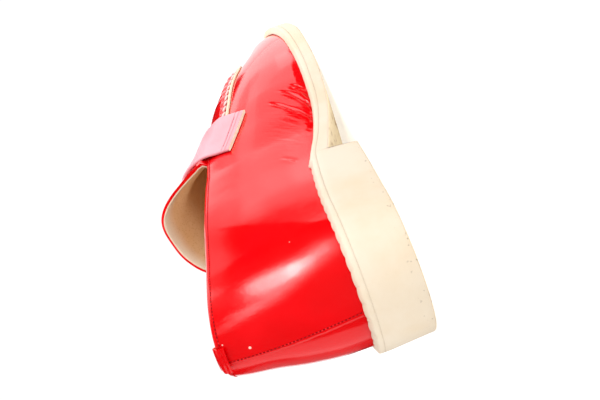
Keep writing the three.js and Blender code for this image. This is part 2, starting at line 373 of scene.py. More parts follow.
# %% Finishes
class Finish:
    """A material of one Principled shader and the nodes that feed it."""

    def __init__(self, name, **constants):
        self.material = bpy.data.materials.new(name)
        self.material.use_nodes = True
        self.tree = self.material.node_tree
        self.shader = self.tree.nodes["Principled BSDF"]
        for socket, value in constants.items():
            self.shader.inputs[socket.replace("_", " ")].default_value = value

    def node(self, kind, settings=None, sockets=None, out=0):
        """Makes a node: settings are its properties, sockets its inputs, out the output wanted."""
        made = self.tree.nodes.new("ShaderNode" + kind)
        for name, value in (settings or {}).items():
            setattr(made, name, value)
        for key, value in (sockets or {}).items():
            if isinstance(value, Strand):
                self.tree.links.new(value.socket, made.inputs[key])
            else:
                made.inputs[key].default_value = value
        return Strand(self, made.outputs[out])

    def place(self):
        return self.node("TexCoord", out="Object")

    def axis(self, name):
        return self.node("SeparateXYZ", {}, {0: self.place()}, name)

    def noise(self, scale, detail=2.0, roughness=0.5, where=None):
        place = where or self.place()
        sockets = {"Vector": place, "Scale": scale, "Detail": detail, "Roughness": roughness}
        return self.node("TexNoise", {}, sockets)

    def cells(self, scale):
        return self.node("TexVoronoi", {}, {"Vector": self.place(), "Scale": scale})

    def span(self, value, low, high, start=0.0, end=1.0):
        """Start below low, end above high, and a smooth way between."""
        sockets = {0: value, 1: low, 2: high, 3: start, 4: end}
        return self.node("MapRange", {"interpolation_type": "SMOOTHSTEP"}, sockets)

    def mix(self, share, first, second):
        return self.node("Mix", {"data_type": "RGBA"}, {0: share, 6: first, 7: second}, 2)

    def near(self, point, radius):
        """1 at a point of the shoe, given in its own millimetres, and 0 past a radius."""
        spot = tuple(in_frame(point))
        away = self.node("VectorMath", {"operation": "DISTANCE"}, {0: self.place(), 1: spot}, 1)
        return self.span(away, 0.0, radius * MM, 1.0, 0.0)

    def near_any(self, spots):
        """1 at each of several spots, and 0 away from them all."""
        found = self.near(**spots[0])
        for spot in spots[1:]:
            found = found.most(self.near(**spot))
        return found

    def feed(self, name, strand):
        self.tree.links.new(strand.socket, self.shader.inputs[name])

    def emboss(self, height, depth):
        """Bump of a height field, depth in millimetres."""
        sockets = {"Strength": 1.0, "Distance": depth * MM, "Height": height}
        self.feed("Normal", self.node("Bump", {}, sockets))


def shade(red, green, blue):
    """A colour as read off a screen, 0 to 255, in the linear light that shaders use."""
    parts = [c / 255 for c in (red, green, blue)]
    return tuple(p / 12.92 if p < 0.04045 else ((p + 0.055) / 1.055) ** 2.4 for p in parts) + (1.0,)


# %% [markdown]
# The upper's leather is red with a hard gloss. Close up it has a fine printed grain, which runs in lines
# at the heel, and its colour is a little uneven. Five small pale nicks on the medial side are bare spots
# in the gloss coat. At the ball the leather is drawn into fine wrinkles, and inside the back a stiffener
# ends in a slanting step that shows through. The gloss could be a coat alone, but grain has to show in
# the highlights, so the base layer is glossy too. All relief is summed to one height for one Bump.

# %% Red leather
NICKS = [
    dict(point=(3.7, -5.0, 64.5), radius=0.95),
    dict(point=(6.7, -7.8, 73.4), radius=0.75),
    dict(point=(7.8, -9.3, 74.3), radius=0.60),
    dict(point=(7.5, -10.2, 71.5), radius=0.60),
    dict(point=(29.0, -25.1, 39.5), radius=0.40),
]
BALL_BENDS = [
    dict(point=(122.0, -27.0, 24.0), radius=36.0),
    dict(point=(128.0, 36.0, 24.0), radius=36.0),
]
HEEL_ZONE = (-0.108, -0.09)
COAT_ZONE = (-0.03, 0.02)
COUNTER_ZONE = (-0.1401, -0.1121)
COUNTER_LEAN = 0.76
COUNTER_STEP = 15.0
PRINT_RIPPLE = 12000.0
LEATHER_RELIEF = 0.08


def red_leather():
    finish = Finish("red_gloss_leather", IOR=1.5, Coat_Roughness=0.08)
    x, y, z = finish.axis("X"), finish.axis("Y"), finish.axis("Z")
    cloud = finish.span(finish.noise(38.0, 3.0), 0.35, 0.7)
    colour = finish.mix(cloud, shade(222, 0, 5), shade(233, 0, 9))
    bare = finish.near_any(NICKS)
    nicked = finish.mix(finish.span(bare, 0.35, 0.6), colour, shade(255, 205, 190))
    finish.feed("Base Color", nicked)
    heel = finish.span(x, *HEEL_ZONE, 1.0, 0.0)
    worn = finish.span(finish.noise(60.0, 4.0), 0.3, 0.75, 0.075, 0.115)
    finish.feed("Roughness", worn + heel * 0.06)
    finish.feed("Coat Weight", (finish.span(x, *COAT_ZONE) * 0.8 + 0.1) * (1 - bare))
    bend, across_bend = x * 0.66 + z * 0.75, z * 0.66 - x * 0.75
    drawn = finish.node("CombineXYZ", {}, {0: bend * 90.0, 1: across_bend * 1000.0, 2: y * 90.0})
    wrinkle = finish.noise(1.0, 2.0, where=drawn) * finish.near_any(BALL_BENDS)
    grain = finish.cells(2600.0) * 0.6 + finish.noise(1900.0, 2.0) * 0.6
    pull = finish.noise(120.0, 2.0)
    counter = finish.span(x - z * COUNTER_LEAN, *COUNTER_ZONE)
    ripple = finish.node("Math", {"operation": "SINE"}, {0: (x * 0.28 + z * 0.96) * PRINT_RIPPLE})
    relief = grain * 0.2 + pull * 0.8 + wrinkle * 2.0 + ripple * heel * 0.04
    finish.emboss(relief + counter * counter * COUNTER_STEP, LEATHER_RELIEF)
    return finish.material


RED = red_leather()
print("finish:", RED.name)

# %% [markdown]
# The lining is undyed pigskin, matt and beige, with small pores in it, and it is paler where a cut edge
# is near. Cut edges of leather show raw fibre, paler than the lining. All of them only need colour,
# pores or fibre, and a rough surface.

# %% Lining and raw edge
def lining():
    finish = Finish("beige_lining", IOR=1.45)
    patch = finish.span(finish.noise(45.0, 4.0), 0.3, 0.7)
    pores = finish.span(finish.cells(1300.0), 0.1, 0.4)
    plain = finish.mix(patch, shade(222, 170, 116), shade(236, 194, 146))
    edge = finish.node("Attribute", {"attribute_name": "near_edge"}, out="Fac")
    worn = finish.mix(pores, shade(212, 160, 108), plain)
    finish.feed("Base Color", finish.mix(edge, worn, shade(252, 240, 222)))
    finish.feed("Roughness", finish.span(patch, 0.0, 1.0, 0.62, 0.75))
    finish.emboss(pores * 0.5 + finish.noise(1200.0, 3.0) * 0.5, 0.1)
    return finish.material


def raw_edge(name, dark, light):
    finish = Finish(name, IOR=1.4)
    fibre = finish.noise(900.0, 4.0)
    finish.feed("Base Color", finish.mix(fibre, dark, light))
    finish.feed("Roughness", finish.span(fibre, 0.3, 0.7, 0.7, 0.9))
    finish.emboss(fibre, 0.2)
    return finish.material


LINING = lining()
RAW_EDGE = raw_edge("raw_leather_edge", shade(214, 188, 160), shade(232, 210, 184))
# painted shade: the foot of the plug's standing edge is brown for the shade it lies in
EDGE_FOOT_SHADE = raw_edge("edge_foot_in_shade", shade(140, 74, 50), shade(176, 104, 72))
# painted light: the strap's raw ends take a much paler copy of the raw edge, since they face down, away
# from the light
STRAP_EDGE_PAINTED_LIGHT = raw_edge("strap_raw_edge_painted_light", shade(253, 238, 204), shade(255, 249, 226))
print("finishes:", LINING.name, RAW_EDGE.name, EDGE_FOOT_SHADE.name, STRAP_EDGE_PAINTED_LIGHT.name)

# %% [markdown]
# The strap is satin pink leather, softer in gloss than the upper. Threads are twisted, so a fine slanted
# ripple stands in for the twist: pink for the plug seam, red where the quarters are stitched, and rose
# on the strap. A needle hole is a dark red bead of the same kind, painted shade for the hollow of the hole.

# %% Strap leather and threads
def pink_leather():
    finish = Finish("pink_satin_leather", IOR=1.5, Coat_Roughness=0.2)
    cloud = finish.span(finish.noise(55.0, 4.0), 0.3, 0.7)
    finish.feed("Base Color", finish.mix(cloud, shade(228, 150, 158), shade(236, 164, 174)))
    finish.feed("Roughness", finish.span(cloud, 0.0, 1.0, 0.36, 0.46))
    finish.feed("Coat Weight", cloud * 0.15)
    finish.emboss(finish.cells(1300.0) * 0.5 + finish.noise(700.0, 3.0) * 0.6, 0.08)
    return finish.material


def thread(name, dark, light):
    finish = Finish(name, IOR=1.45, Specular_IOR_Level=0.1)
    sockets = {"Vector": finish.place(), "Scale": 420.0}
    wave = finish.node("TexWave", {"bands_direction": "DIAGONAL"}, sockets)
    twist = finish.node("SeparateColor", {}, {0: wave}, 0)
    finish.feed("Base Color", finish.mix(twist, dark, light))
    finish.feed("Roughness", finish.span(twist, 0.0, 1.0, 0.7, 0.5))
    finish.emboss(twist, 0.06)
    return finish.material


PINK = pink_leather()
PINK_THREAD = thread("pink_thread", shade(240, 186, 184), shade(248, 206, 202))
RED_THREAD = thread("red_thread", shade(200, 2, 10), shade(236, 44, 48))
# painted shade: dark beads stand for the shadowed hollow of each needle hole
HOLE_SHADE = thread("needle_hole", shade(128, 0, 6), shade(160, 2, 10))
ROSE_THREAD = thread("rose_thread", shade(150, 64, 84), shade(190, 96, 116))
print("finishes:", PINK.name, PINK_THREAD.name, RED_THREAD.name, HOLE_SHADE.name, ROSE_THREAD.name)

# %% [markdown]
# Sole and welt are cream rubber moulded in one colour. The wall is clean with faint stains, and forward
# of the heel's back it is painted darker, as shade. The tread under heel and forefoot is tan with dirt
# rubbed in, on a cream painted paler than the wall as light into the shade under the sole. The lowest
# edge of the heel carries dark specks. Where the rubber faces the floor is read from the surface's own
# normal, so no second material is needed.

# %% Cream rubber
def cream_rubber():
    finish = Finish("cream_rubber", IOR=1.45)
    stain = finish.span(finish.noise(24.0, 5.0, 0.6), 0.35, 0.75)
    heel = finish.mix(stain, shade(231, 217, 196), shade(224, 204, 174))
    # painted shade: forward of the heel's back the wall is a darker copy of the same cream
    fore_shaded = finish.mix(stain, shade(220, 206, 187), shade(214, 195, 167))
    wall = finish.mix(finish.span(finish.axis("X"), -0.118, -0.088), heel, fore_shaded)
    facing = finish.node("SeparateXYZ", {}, {0: finish.node("NewGeometry", out="Normal")}, "Z")
    tread = finish.span(facing, -0.9, -0.6, 1.0, 0.0)
    dirt = finish.span(finish.noise(160.0, 6.0, 0.7), 0.52, 0.72)
    # painted light: where it faces the floor the rubber is paler than the wall, lifting the shade under the
    # sole; the dark end of the mix is dirt
    tread_light_and_dirt = finish.mix(dirt, shade(254, 236, 200), shade(166, 126, 80))
    specks = finish.span(finish.noise(900.0, 2.0), 0.66, 0.72)
    low = finish.span(finish.axis("Z"), 0.0, 0.006, 1.0, 0.0)
    marked = finish.mix(specks * low * 0.7, wall, shade(110, 82, 52))
    finish.feed("Base Color", finish.mix(tread, marked, tread_light_and_dirt))
    finish.feed("Roughness", finish.span(stain, 0.0, 1.0, 0.5, 0.62))
    finish.emboss(finish.noise(1400.0, 3.0) * 0.5 + finish.noise(220.0, 2.0), 0.06)
    return finish.material


CREAM = cream_rubber()
print("finish:", CREAM.name)

# %% [markdown]
# ## The upper
# Vamp and quarters are one sheet of leather drawn over the last, open on top along the topline and the
# plug's edge. The rib of each angle is followed from the plan to that opening: to a height in the side
# view behind the throat, and to the plug's outline ahead of it.

# %% Openings of the upper
WALL = 2.0
PLUG = [
    dict(x=134, half=21),
    dict(x=158, half=24),
    dict(x=180, half=25.8),
    dict(x=198, half=26),
]
PLUG_FRONT = 222.0
TOPLINE = [
    dict(x=-20, z=76.6),
    dict(x=6, z=76.4),
    dict(x=14, z=75.6),
    dict(x=30, z=73.2),
    dict(x=60, z=70.0),
    dict(x=95, z=66.7),
    dict(x=134, z=62.9),
]
THROAT = TOPLINE[-1]["x"]
THROAT_LEAD = 3.5
THROAT_EASE = 6.0
FRONT_RIBS = PLUG[-1]["x"]
RIB_SAMPLES = 2000
topline_at, plug_run = run_of(TOPLINE, "z"), run_of(PLUG, "half")


def plug_half(x):
    """Half width of the plug, rounded off at its front."""
    front = np.clip((x - FRONT_RIBS) / (PLUG_FRONT - FRONT_RIBS), 0, 1)
    return plug_run(x) * (1 - front**TOE_ROUND) ** (1 / TOE_ROUND)


def smooth_step(t):
    """0 below 0, 1 above 1, and a smooth way between."""
    t = np.clip(t, 0, 1)
    return t * t * (3 - 2 * t)


def plateau(x, start, rise, stop, fall):
    """0, then 1 from start on over a rise, and 0 again from stop on over a fall."""
    return smooth_step((x - start) / rise) * (1 - smooth_step((x - stop) / fall))


def hump(x, middle, wide):
    """1 at the middle and falling off smoothly on both sides."""
    return np.exp(-(((x - middle) / wide) ** 2))


def front_opening(foot, top):
    """A point of the plug's rounded front that answers to a point of the toe."""
    ball = PLAN[-1]["x"]
    spread = (LAST_LENGTH - ball) ** -1
    turn = math.asin(min(1.0, ((foot[0] - ball) * spread) ** (TOE_ROUND / 2)))
    start = math.asin(((FRONT_RIBS - ball) * spread) ** (TOE_ROUND / 2))
    turn = (turn - start) / (math.pi / 2 - start) * math.pi / 2
    x = FRONT_RIBS + (PLUG_FRONT - FRONT_RIBS) * math.sin(turn) ** (2 / TOE_ROUND)
    sign = 1 if foot[1] >= top[1] else -1
    return np.array([x, centre_line(x) + RIDGE_SWING + sign * plug_half(x)])


def opening_point(angle):
    """Where the rib of an angle reaches the opening, in plan."""
    foot = plan_point(angle)
    top_x = spine_x(foot[0])
    top = np.array([top_x, centre_line(top_x) + RIDGE_SWING])
    if foot[0] >= FRONT_RIBS:
        return front_opening(foot, top)
    out = np.linspace(1, 0, RIB_SAMPLES)
    x = top[0] + out * (foot[0] - top[0])
    above = rib_height(foot[0], top[0], out) - topline_at(x)
    first = int(np.argmax(above > 0))
    share = above[first - 1] / (above[first - 1] - above[first])
    by_topline = out[first - 1] + share * (out[first] - out[first - 1])
    by_plug = plug_half(foot[0]) / max(abs(foot[1] - top[1]), NEAR_ZERO)
    ahead = smooth_step((foot[0] - THROAT + THROAT_LEAD) / THROAT_EASE)
    return top + (by_topline + ahead * (by_plug - by_topline)) * (foot - top)


print("opening at the side of the throat:", opening_point(math.pi / 2).round(1))

# %% [markdown]
# The wall's columns run round the plan, closer where the vamp bends and at the back seam, and its rows
# climb evenly from the welt to the opening. Worn leather has sunk in on the medial side behind the
# ankle. That hollow is a table of depths along the shoe.

# %% Wall of the upper
WALL_ROWS = 104
PATH_SAMPLES = 240
EVEN_COLUMNS = 240
MEDIAL_BEND = dict(start=1.22, stop=1.85, num=240)
LATERAL_BEND = dict(start=1.35, stop=1.85, num=60)
BACK_SEAM = dict(start=-0.12, stop=0.12, num=40)
HOLLOW = [
    dict(x=4, deep=0),
    dict(x=17, deep=1.6),
    dict(x=26, deep=1.45),
    dict(x=34, deep=1.02),
    dict(x=45, deep=0.56),
    dict(x=55, deep=0.22),
    dict(x=66, deep=0),
]
HOLLOW_FOOT, HOLLOW_RISE = 20.0, 35.0


def walked(route):
    """Length walked along a route up to each of its points."""
    return np.concatenate([[0], np.cumsum(np.linalg.norm(np.diff(route, axis=0), axis=1))])


def along_route(values, run, spots):
    """Values of a route at chosen lengths along it."""
    return np.column_stack([np.interp(spots, run, values[:, k]) for k in range(3)])


def wall_path(angle, rows, drop):
    """Evenly spaced points up the wall, ending a drop below the opening."""
    foot, end = plan_point(angle), opening_point(angle)
    share = np.linspace(0, 1, PATH_SAMPLES)[:, None] ** 2
    plan = foot + share * (end - foot)
    if foot[0] >= FRONT_RIBS:
        height = last_height(plan[:, 0], plan[:, 1])
        height[0] = edge_at(foot[0]) + GAP
    else:
        top_x = spine_x(foot[0])
        top = np.array([top_x, centre_line(top_x) + RIDGE_SWING])
        out = np.linalg.norm(plan - top, axis=1) / np.linalg.norm(foot - top)
        height = rib_height(foot[0], top_x, np.clip(out, 0, 1))
    path = np.column_stack([plan, height])
    run = walked(path)
    return along_route(path, run, np.linspace(0, run[-1] - drop, rows))


angles = np.unique(np.concatenate([
    np.linspace(0, 2 * math.pi, EVEN_COLUMNS + 1)[:-1],
    2 * math.pi - np.linspace(**MEDIAL_BEND),
    np.linspace(**LATERAL_BEND),
    np.linspace(**BACK_SEAM) % (2 * math.pi),
]))
on_medial = np.sin(angles) < 0
wall = np.stack([wall_path(angle, WALL_ROWS, WALL / 2) for angle in angles], 1)
sunk = run_of(HOLLOW, "deep")(wall[..., 0]) * smooth_step((wall[..., 2] - HOLLOW_FOOT) / HOLLOW_RISE)
wall[..., 1] += on_medial * sunk
wall_x, wall_z = wall[..., 0], wall[..., 2]
print("upper from", wall.reshape(-1, 3).min(0).round(1), "to", wall.reshape(-1, 3).max(0).round(1))

# %% [markdown]
# Wear has left creases where the vamp bends. Each is one row of a table: a stroke in the side view, how
# deep it is and how wide, and which side it is on. A stroke is a soft trough with a low ridge beside it.
# Sculpting would do, but strokes in the shoe's own sizes can be moved one by one until they lie as they
# should.

# %% Creases
CREASES = [
    dict(x0=118, z0=11.0, x1=138, z1=22.8, bow=-0.04, depth=0.78, wide=0.55, side=-1),
    dict(x0=129, z0=17.6, x1=145, z1=28.6, bow=-0.05, depth=0.70, wide=0.55, side=-1),
    dict(x0=120, z0=9.6, x1=151, z1=23.6, bow=-0.10, depth=0.78, wide=0.60, side=-1),
    dict(x0=137, z0=9.6, x1=149, z1=17.8, bow=-0.08, depth=0.62, wide=0.95, side=-1),
    dict(x0=140, z0=9.4, x1=150, z1=16.6, bow=-0.10, depth=0.45, wide=0.65, side=-1),
    dict(x0=126, z0=9.6, x1=136, z1=12.4, bow=-0.05, depth=0.32, wide=0.60, side=-1),
    dict(x0=115, z0=13.4, x1=134, z1=25.6, bow=-0.04, depth=0.07, wide=0.60, side=-1),
    dict(x0=112, z0=15.0, x1=131, z1=28.0, bow=-0.04, depth=0.05, wide=0.60, side=-1),
    dict(x0=108, z0=17.0, x1=127, z1=31.0, bow=-0.04, depth=0.05, wide=0.70, side=-1),
    dict(x0=104, z0=20.0, x1=122, z1=34.0, bow=-0.04, depth=0.05, wide=0.70, side=-1),
    dict(x0=89, z0=25.6, x1=98, z1=31.6, bow=-0.04, depth=0.16, wide=0.80, side=-1),
    dict(x0=131, z0=8.5, x1=150, z1=20.0, bow=-0.08, depth=0.55, wide=1.00, side=1),
    dict(x0=141, z0=8.0, x1=160, z1=18.0, bow=-0.08, depth=0.50, wide=0.90, side=1),
    dict(x0=120, z0=11.0, x1=139, z1=23.0, bow=-0.06, depth=0.40, wide=0.90, side=1),
    dict(x0=150, z0=8.0, x1=166, z1=14.0, bow=-0.08, depth=0.35, wide=0.90, side=1),
    dict(x0=110, z0=15.0, x1=124, z1=27.0, bow=-0.04, depth=0.20, wide=1.20, side=1),
]
RIDGE_SHARE = 0.45
RIDGE_AWAY = 1.7


def crease_depth(points):
    """How far the creases press in, at points of the shoe."""
    x, y, z = points[..., 0], points[..., 1], points[..., 2]
    pressed = np.zeros(x.shape)
    for stroke in CREASES:
        start = np.array([stroke["x0"], stroke["z0"]])
        run = np.array([stroke["x1"], stroke["z1"]]) - start
        length = np.linalg.norm(run)
        run = run / length
        along = (x - start[0]) * run[0] + (z - start[1]) * run[1]
        bow = stroke["bow"] * length * (1 - (2 * along / length - 1) ** 2)
        off = (-(x - start[0]) * run[1] + (z - start[1]) * run[0] - bow) / stroke["wide"]
        fade = smooth_step(along / (0.3 * length) + 0.5) * smooth_step((length - along) / (0.4 * length))
        profile = hump(off, 0, 1) - RIDGE_SHARE * hump(off, RIDGE_AWAY, 1)
        own_side = (y - centre_line(x) - RIDGE_SWING) * stroke["side"] > 0
        pressed += stroke["depth"] * fade * profile * own_side
    return pressed


creased = crease_depth(wall)
print("deepest crease, mm:", creased.max().round(2))

# %% [markdown]
# The quarters are closed at the back by a lapped seam, whose line slants across the heel. Over the welt
# the leather turns under at the ball, and the back is drawn in at a waist. These are soft steps too, so
# the sum of them moves the wall's points along its normals.

# %% Back seam, waist and turned edge
LAP_STEP = 0.6
LAP_STEEP, LAP_FADE = 0.8, 14.0
SEAM_LOW, SEAM_TOP = 2.6, -3.0
WELT_COVERS = 3.4
TURNED_UNDER, TURN_HEIGHT = 0.65, 4.0
WAIST_IN, WAIST_HEIGHT = 0.8, 59.0
BELLY_OUT, BELLY_HEIGHT = 0.35, 33.0
WAIST_SPREAD = 9.0

wall_out = grid_normals(wall, wrap_columns=True)
middle_row = wall[WALL_ROWS // 2]
round_run = walked(middle_row)
round_length = round_run[-1] + np.linalg.norm(middle_row[0] - middle_row[-1])
past_back = np.where(round_run < round_length / 2, -round_run, round_length - round_run)
seam_at = np.linspace(SEAM_LOW, SEAM_TOP, WALL_ROWS)
past_seam = past_back[None, :] - seam_at[:, None]
lap = LAP_STEP * smooth_step(past_seam / LAP_STEEP + 0.5) * (1 - smooth_step(past_seam / LAP_FADE))
at_ball = plateau(wall_x, start=108, rise=14, stop=152, fall=20) * (0.8 + 0.2 * np.sin(wall_x * 1.1))
above_welt = wall_z - edge_at(wall_x) - WELT_COVERS
turned_under = TURNED_UNDER * (1 - smooth_step(above_welt / TURN_HEIGHT)) * at_ball
rear = plateau(-past_back, start=2, rise=12, stop=45, fall=25)
waist = WAIST_IN * hump(wall_z, WAIST_HEIGHT, WAIST_SPREAD)
belly = BELLY_OUT * hump(wall_z, BELLY_HEIGHT, WAIST_SPREAD)
moved_in = creased + turned_under + (waist - belly) * rear[None, :]
skin = wall + wall_out * (lap - moved_in)[..., None]
skin_out = grid_normals(skin, wrap_columns=True)
print("lap of the back seam, mm:", lap.max().round(2))

# %% [markdown]
# At the opening the leather rolls over its edge and meets the lining, which runs down again inside. The
# lining could be a piece of its own, but one closed wall from welt to rim and back can't come apart, so
# it is the same grid with a second material past the top of the roll.

# %% Rolled edge, lining and the closed wall
ROLL_STEPS = 8
turns = np.linspace(0, math.pi, ROLL_STEPS)[1:]


def rolled(outer, outward, climb, half):
    """Half a turn over an edge, from its outer face to its inner one."""
    middle = outer - outward * WALL / 2
    return [middle + (outward * math.cos(t) + climb * math.sin(t)) * half for t in turns]


roll = rolled(skin[-1], wall_out[-1], unit(wall[-1] - wall[-3]), WALL / 2)
inside = (wall - wall_out * WALL)[-2::-3]
rolled_wall = np.concatenate([skin, np.stack(roll), inside], 0)
LINING_ROW = WALL_ROWS + len(roll) // 2


def upper_slots(row, column):
    """Lining past the roll, leather elsewhere and underneath."""
    return np.where((row >= LINING_ROW) & (row < len(rolled_wall) - 1), 1, 0)


upper = laid_grid("upper_leather", rolled_wall, wrap_columns=True, wrap_rows=True, slots=upper_slots)
dress(upper, "upper", "upper_red", RED, LINING)

# %% [markdown]
# ## Plug and tongue
# The plug is the panel on top of the toes. It runs back under the strap as a broad tongue, cut slanting
# at the end, so that its raw edge shows. Plug and tongue could be two grids joined under the strap, but
# one serves for both: columns across, rows from the end of the tongue to the toe.

# %% Plan of the plug
TONGUE_LATERAL = 30.0
TONGUE_MEDIAL = 24.0
TONGUE_WIDENS = 5.0
TONGUE_END = [
    dict(x=-24, back=133.5),
    dict(x=-20, back=132.5),
    dict(x=-17.5, back=129),
    dict(x=-15.5, back=124.6),
    dict(x=-10, back=121.6),
    dict(x=0, back=118.7),
    dict(x=7, back=117.2),
    dict(x=16, back=112.2),
    dict(x=21, back=108.6),
    dict(x=30, back=104.5),
]
PLUG_COLUMNS = 81
TONGUE_ROWS = 40
FRONT_ROWS = 110
tongue_back = run_of(TONGUE_END, "back")


def plug_surface(across, along):
    """The plug on the last: across from -1, medial, to 1; along from -1 by 0 at the throat to 1, toe."""
    reach = np.where(across > 0, TONGUE_LATERAL, TONGUE_MEDIAL)
    tongue_x = THROAT + along * (THROAT - tongue_back(across * reach))
    front_x = THROAT + (PLUG_FRONT - THROAT) * np.sin(np.clip(along, 0, 1) * math.pi / 2)
    x = np.where(along < 0, tongue_x, front_x)
    widened = smooth_step((THROAT - x) / TONGUE_WIDENS)
    half = plug_half(x) + widened * (reach - plug_half(x))
    y = centre_line(x) + RIDGE_SWING + across * half
    return np.stack([x, y, last_height(x, y)], -1)


plug_across = np.sin(np.linspace(-1, 1, PLUG_COLUMNS) * math.pi / 2) * 0.99
plug_along = np.concatenate([np.linspace(-1, 0, TONGUE_ROWS)[:-1], np.linspace(0, 0.997, FRONT_ROWS)])
across_grid, along_grid = np.meshgrid(plug_across, plug_along)
plug_bed = plug_surface(across_grid, along_grid)
bed_x, bed_z = plug_bed[..., 0], plug_bed[..., 2]
plug_out = -grid_normals(plug_bed)
plug_out *= np.sign(plug_out[..., 2:3])
print("plug from", bed_x.min().round(1), "to", bed_x.max().round(1))

# %% [markdown]
# Sewn leather never lies flat. Ahead of the throat the plug swells up from its seam and puckers at each
# stitch. Behind the throat the tongue is tucked under the quarters where it is lower than the topline,
# and flares where it is free: steeply on the medial side, gently on the lateral. Each of these is one
# smooth height, and their sum moves the grid out from the last.

# %% Form of the plug
PLUG_PUFF = 1.1
TOE_SWELL = 1.4
PUFF_RISE, SWELL_RISE = 12.0, 2.4
TONGUE_FLARE = 3.2
STITCH_PITCH = 5.6
PUCKER, PUCKER_WIDE = 0.3, 3.0
TUCK_DEEP = WALL + 0.5
TUCK_STARTS, TUCK_EASE = 1.4, 2.6
LATERAL_STARTS = 3.2

from_seam = np.minimum((1 - np.abs(across_grid)) * PLUG[-1]["half"], PLUG_FRONT - bed_x)
on_lateral = smooth_step(across_grid / 0.5)
past_throat = smooth_step((bed_x - THROAT) / PUFF_RISE)
over_toes = plateau(bed_x, start=154, rise=28, stop=195, fall=20)
swell = (PLUG_PUFF + TOE_SWELL * over_toes) * smooth_step(from_seam / SWELL_RISE)
edge_run = walked(plug_bed[:, 0])[:, None]
pucker = PUCKER * np.cos(2 * math.pi * edge_run / STITCH_PITCH) * hump(from_seam, 0, PUCKER_WIDE)
under_topline = topline_at(bed_x) + TUCK_STARTS + LATERAL_STARTS * on_lateral - bed_z
below = smooth_step(under_topline / (TUCK_EASE + TUCK_EASE * on_lateral))
steep = past_throat * swell + (1 - below) * TONGUE_FLARE * smooth_step((-along_grid - 0.05) / 0.65)
free = (1 - below) * (TONGUE_FLARE - PLUG_PUFF) * smooth_step(-along_grid / 0.95)
gentle = swell * (1 - below * smooth_step((THROAT - bed_x) / 2.0)) + free
puff = steep + smooth_step((across_grid + 0.35) / 0.5) * (gentle - steep) + past_throat * pucker
tuck = TUCK_DEEP * below * smooth_step((THROAT - 1 - bed_x) / 6.0)
plug_skin = plug_bed + plug_out * (puff - tuck)[..., None]
print("plug stands out by up to, mm:", puff.max().round(2))

# %% [markdown]
# Two layers make the plug: red leather, and under it a thin beige lining whose cut rim shows at the
# tongue's end. Solidify gives each its thickness. Where the tongue bends down into its tuck the leather
# would come through the lining, so there the lining's depth is divided by the lean of the surface.

# %% Plug leather and lining
LEATHER_THICK = 1.2
LINING_THICK = 0.6
LINING_GAP = 0.05
PALE_RIM, PALE_WIDE = 0.8, 7.0


def face_up(piece):
    """Turns a laid sheet over if its faces look down."""
    if sum(face.normal.z for face in piece.data.polygons) < 0:
        edit_all(piece, bpy.ops.mesh.flip_normals)


plug = laid_grid("plug_and_tongue", plug_skin)
face_up(plug)
finish_with(plug, "SOLIDIFY", thickness=LEATHER_THICK * MM, offset=-1, use_even_offset=True)
round_edges(plug, 0.25, 2, 60)
dress(plug, "plug", "plug_red", RED)
lean = np.abs((grid_normals(plug_skin) * plug_out).sum(-1))
bent = np.where(along_grid < 0, np.maximum(lean, 0.8 - 0.35 * on_lateral), 1.0)
lining_depth = LEATHER_THICK / bent + LINING_GAP
pale = PALE_RIM * (1 - smooth_step((bed_x - bed_x[:1]) / PALE_WIDE))
backing = laid_grid("plug_lining", plug_skin - plug_out * lining_depth[..., None], near_edge=pale)
face_up(backing)
for finish in (LINING, RAW_EDGE):
    backing.data.materials.append(finish)
finish_with(backing, "SOLIDIFY", thickness=LINING_THICK * MM, offset=-1, material_offset_rim=1)
dress(backing, "plug", "plug_red")
print("plug faces:", len(plug.data.polygons))

# %% [markdown]
# ## The plug seam
# A hand-sewn moccasin seam stands up: the vamp's raw edge is drawn against the plug by thick slanted
# stitches. The edge is a strip swept along the plug's outline and pinched between stitches. Its foot,
# where it leaves the vamp, lies in its own shade and gets a darker finish.

# %% Standing edge
LIP_WIDE = 1.4
LIP_HIGH = 1.15
LIP_OUTSIDE = 0.8
LIP_STARTS, LIP_STATIONS = 0.12, 150
LIP_FOOT = 6
LIP_SECTION = [
    dict(out=0.0, up=-0.9),
    dict(out=0.0, up=0.75),
    dict(out=0.12, up=0.95),
    dict(out=0.45, up=1.0),
    dict(out=0.8, up=0.92),
    dict(out=1.0, up=0.7),
    dict(out=1.05, up=0.2),
    dict(out=1.15, up=-0.25),
]
SEAM_CENTRE = 150.0
DRAWN_IN = 35.0


def seam_route(start, count, outside):
    """Points, forward and outward directions and normals along the plug's edge, medial side first."""
    half = np.linspace(start, 1, count)
    way = np.concatenate([half, half[-2::-1]])
    side = np.concatenate([-np.ones(count), np.ones(count - 1)])
    points = plug_surface(side, way)
    run = walked(points)
    even = np.linspace(0, run[-1], 3 * count)
    points = along_route(points, run, even)
    forward = unit(np.gradient(points, axis=0))
    inward = points.copy()
    centre = np.array([[SEAM_CENTRE, centre_line(SEAM_CENTRE) + RIDGE_SWING]])
    inward[:, :2] += (centre - points[:, :2]) * 0.02
    inward[:, 2] = last_height(inward[:, 0], inward[:, 1])
    inner = inward - points
    normal = unit(np.cross(forward, inner))
    normal *= np.sign(normal[:, 2:3])
    out = np.cross(normal, forward)
    out *= -np.sign((out * inner).sum(1, keepdims=True))
    drawn_in = smooth_step((points[:, :1] - SEAM_CENTRE) / DRAWN_IN)
    return points + out * (outside - drawn_in), forward, out, normal, even


def lip_slots(row, column):
    """The foot of the edge takes the second material."""
    return np.where(column == LIP_FOOT, 1, 0)


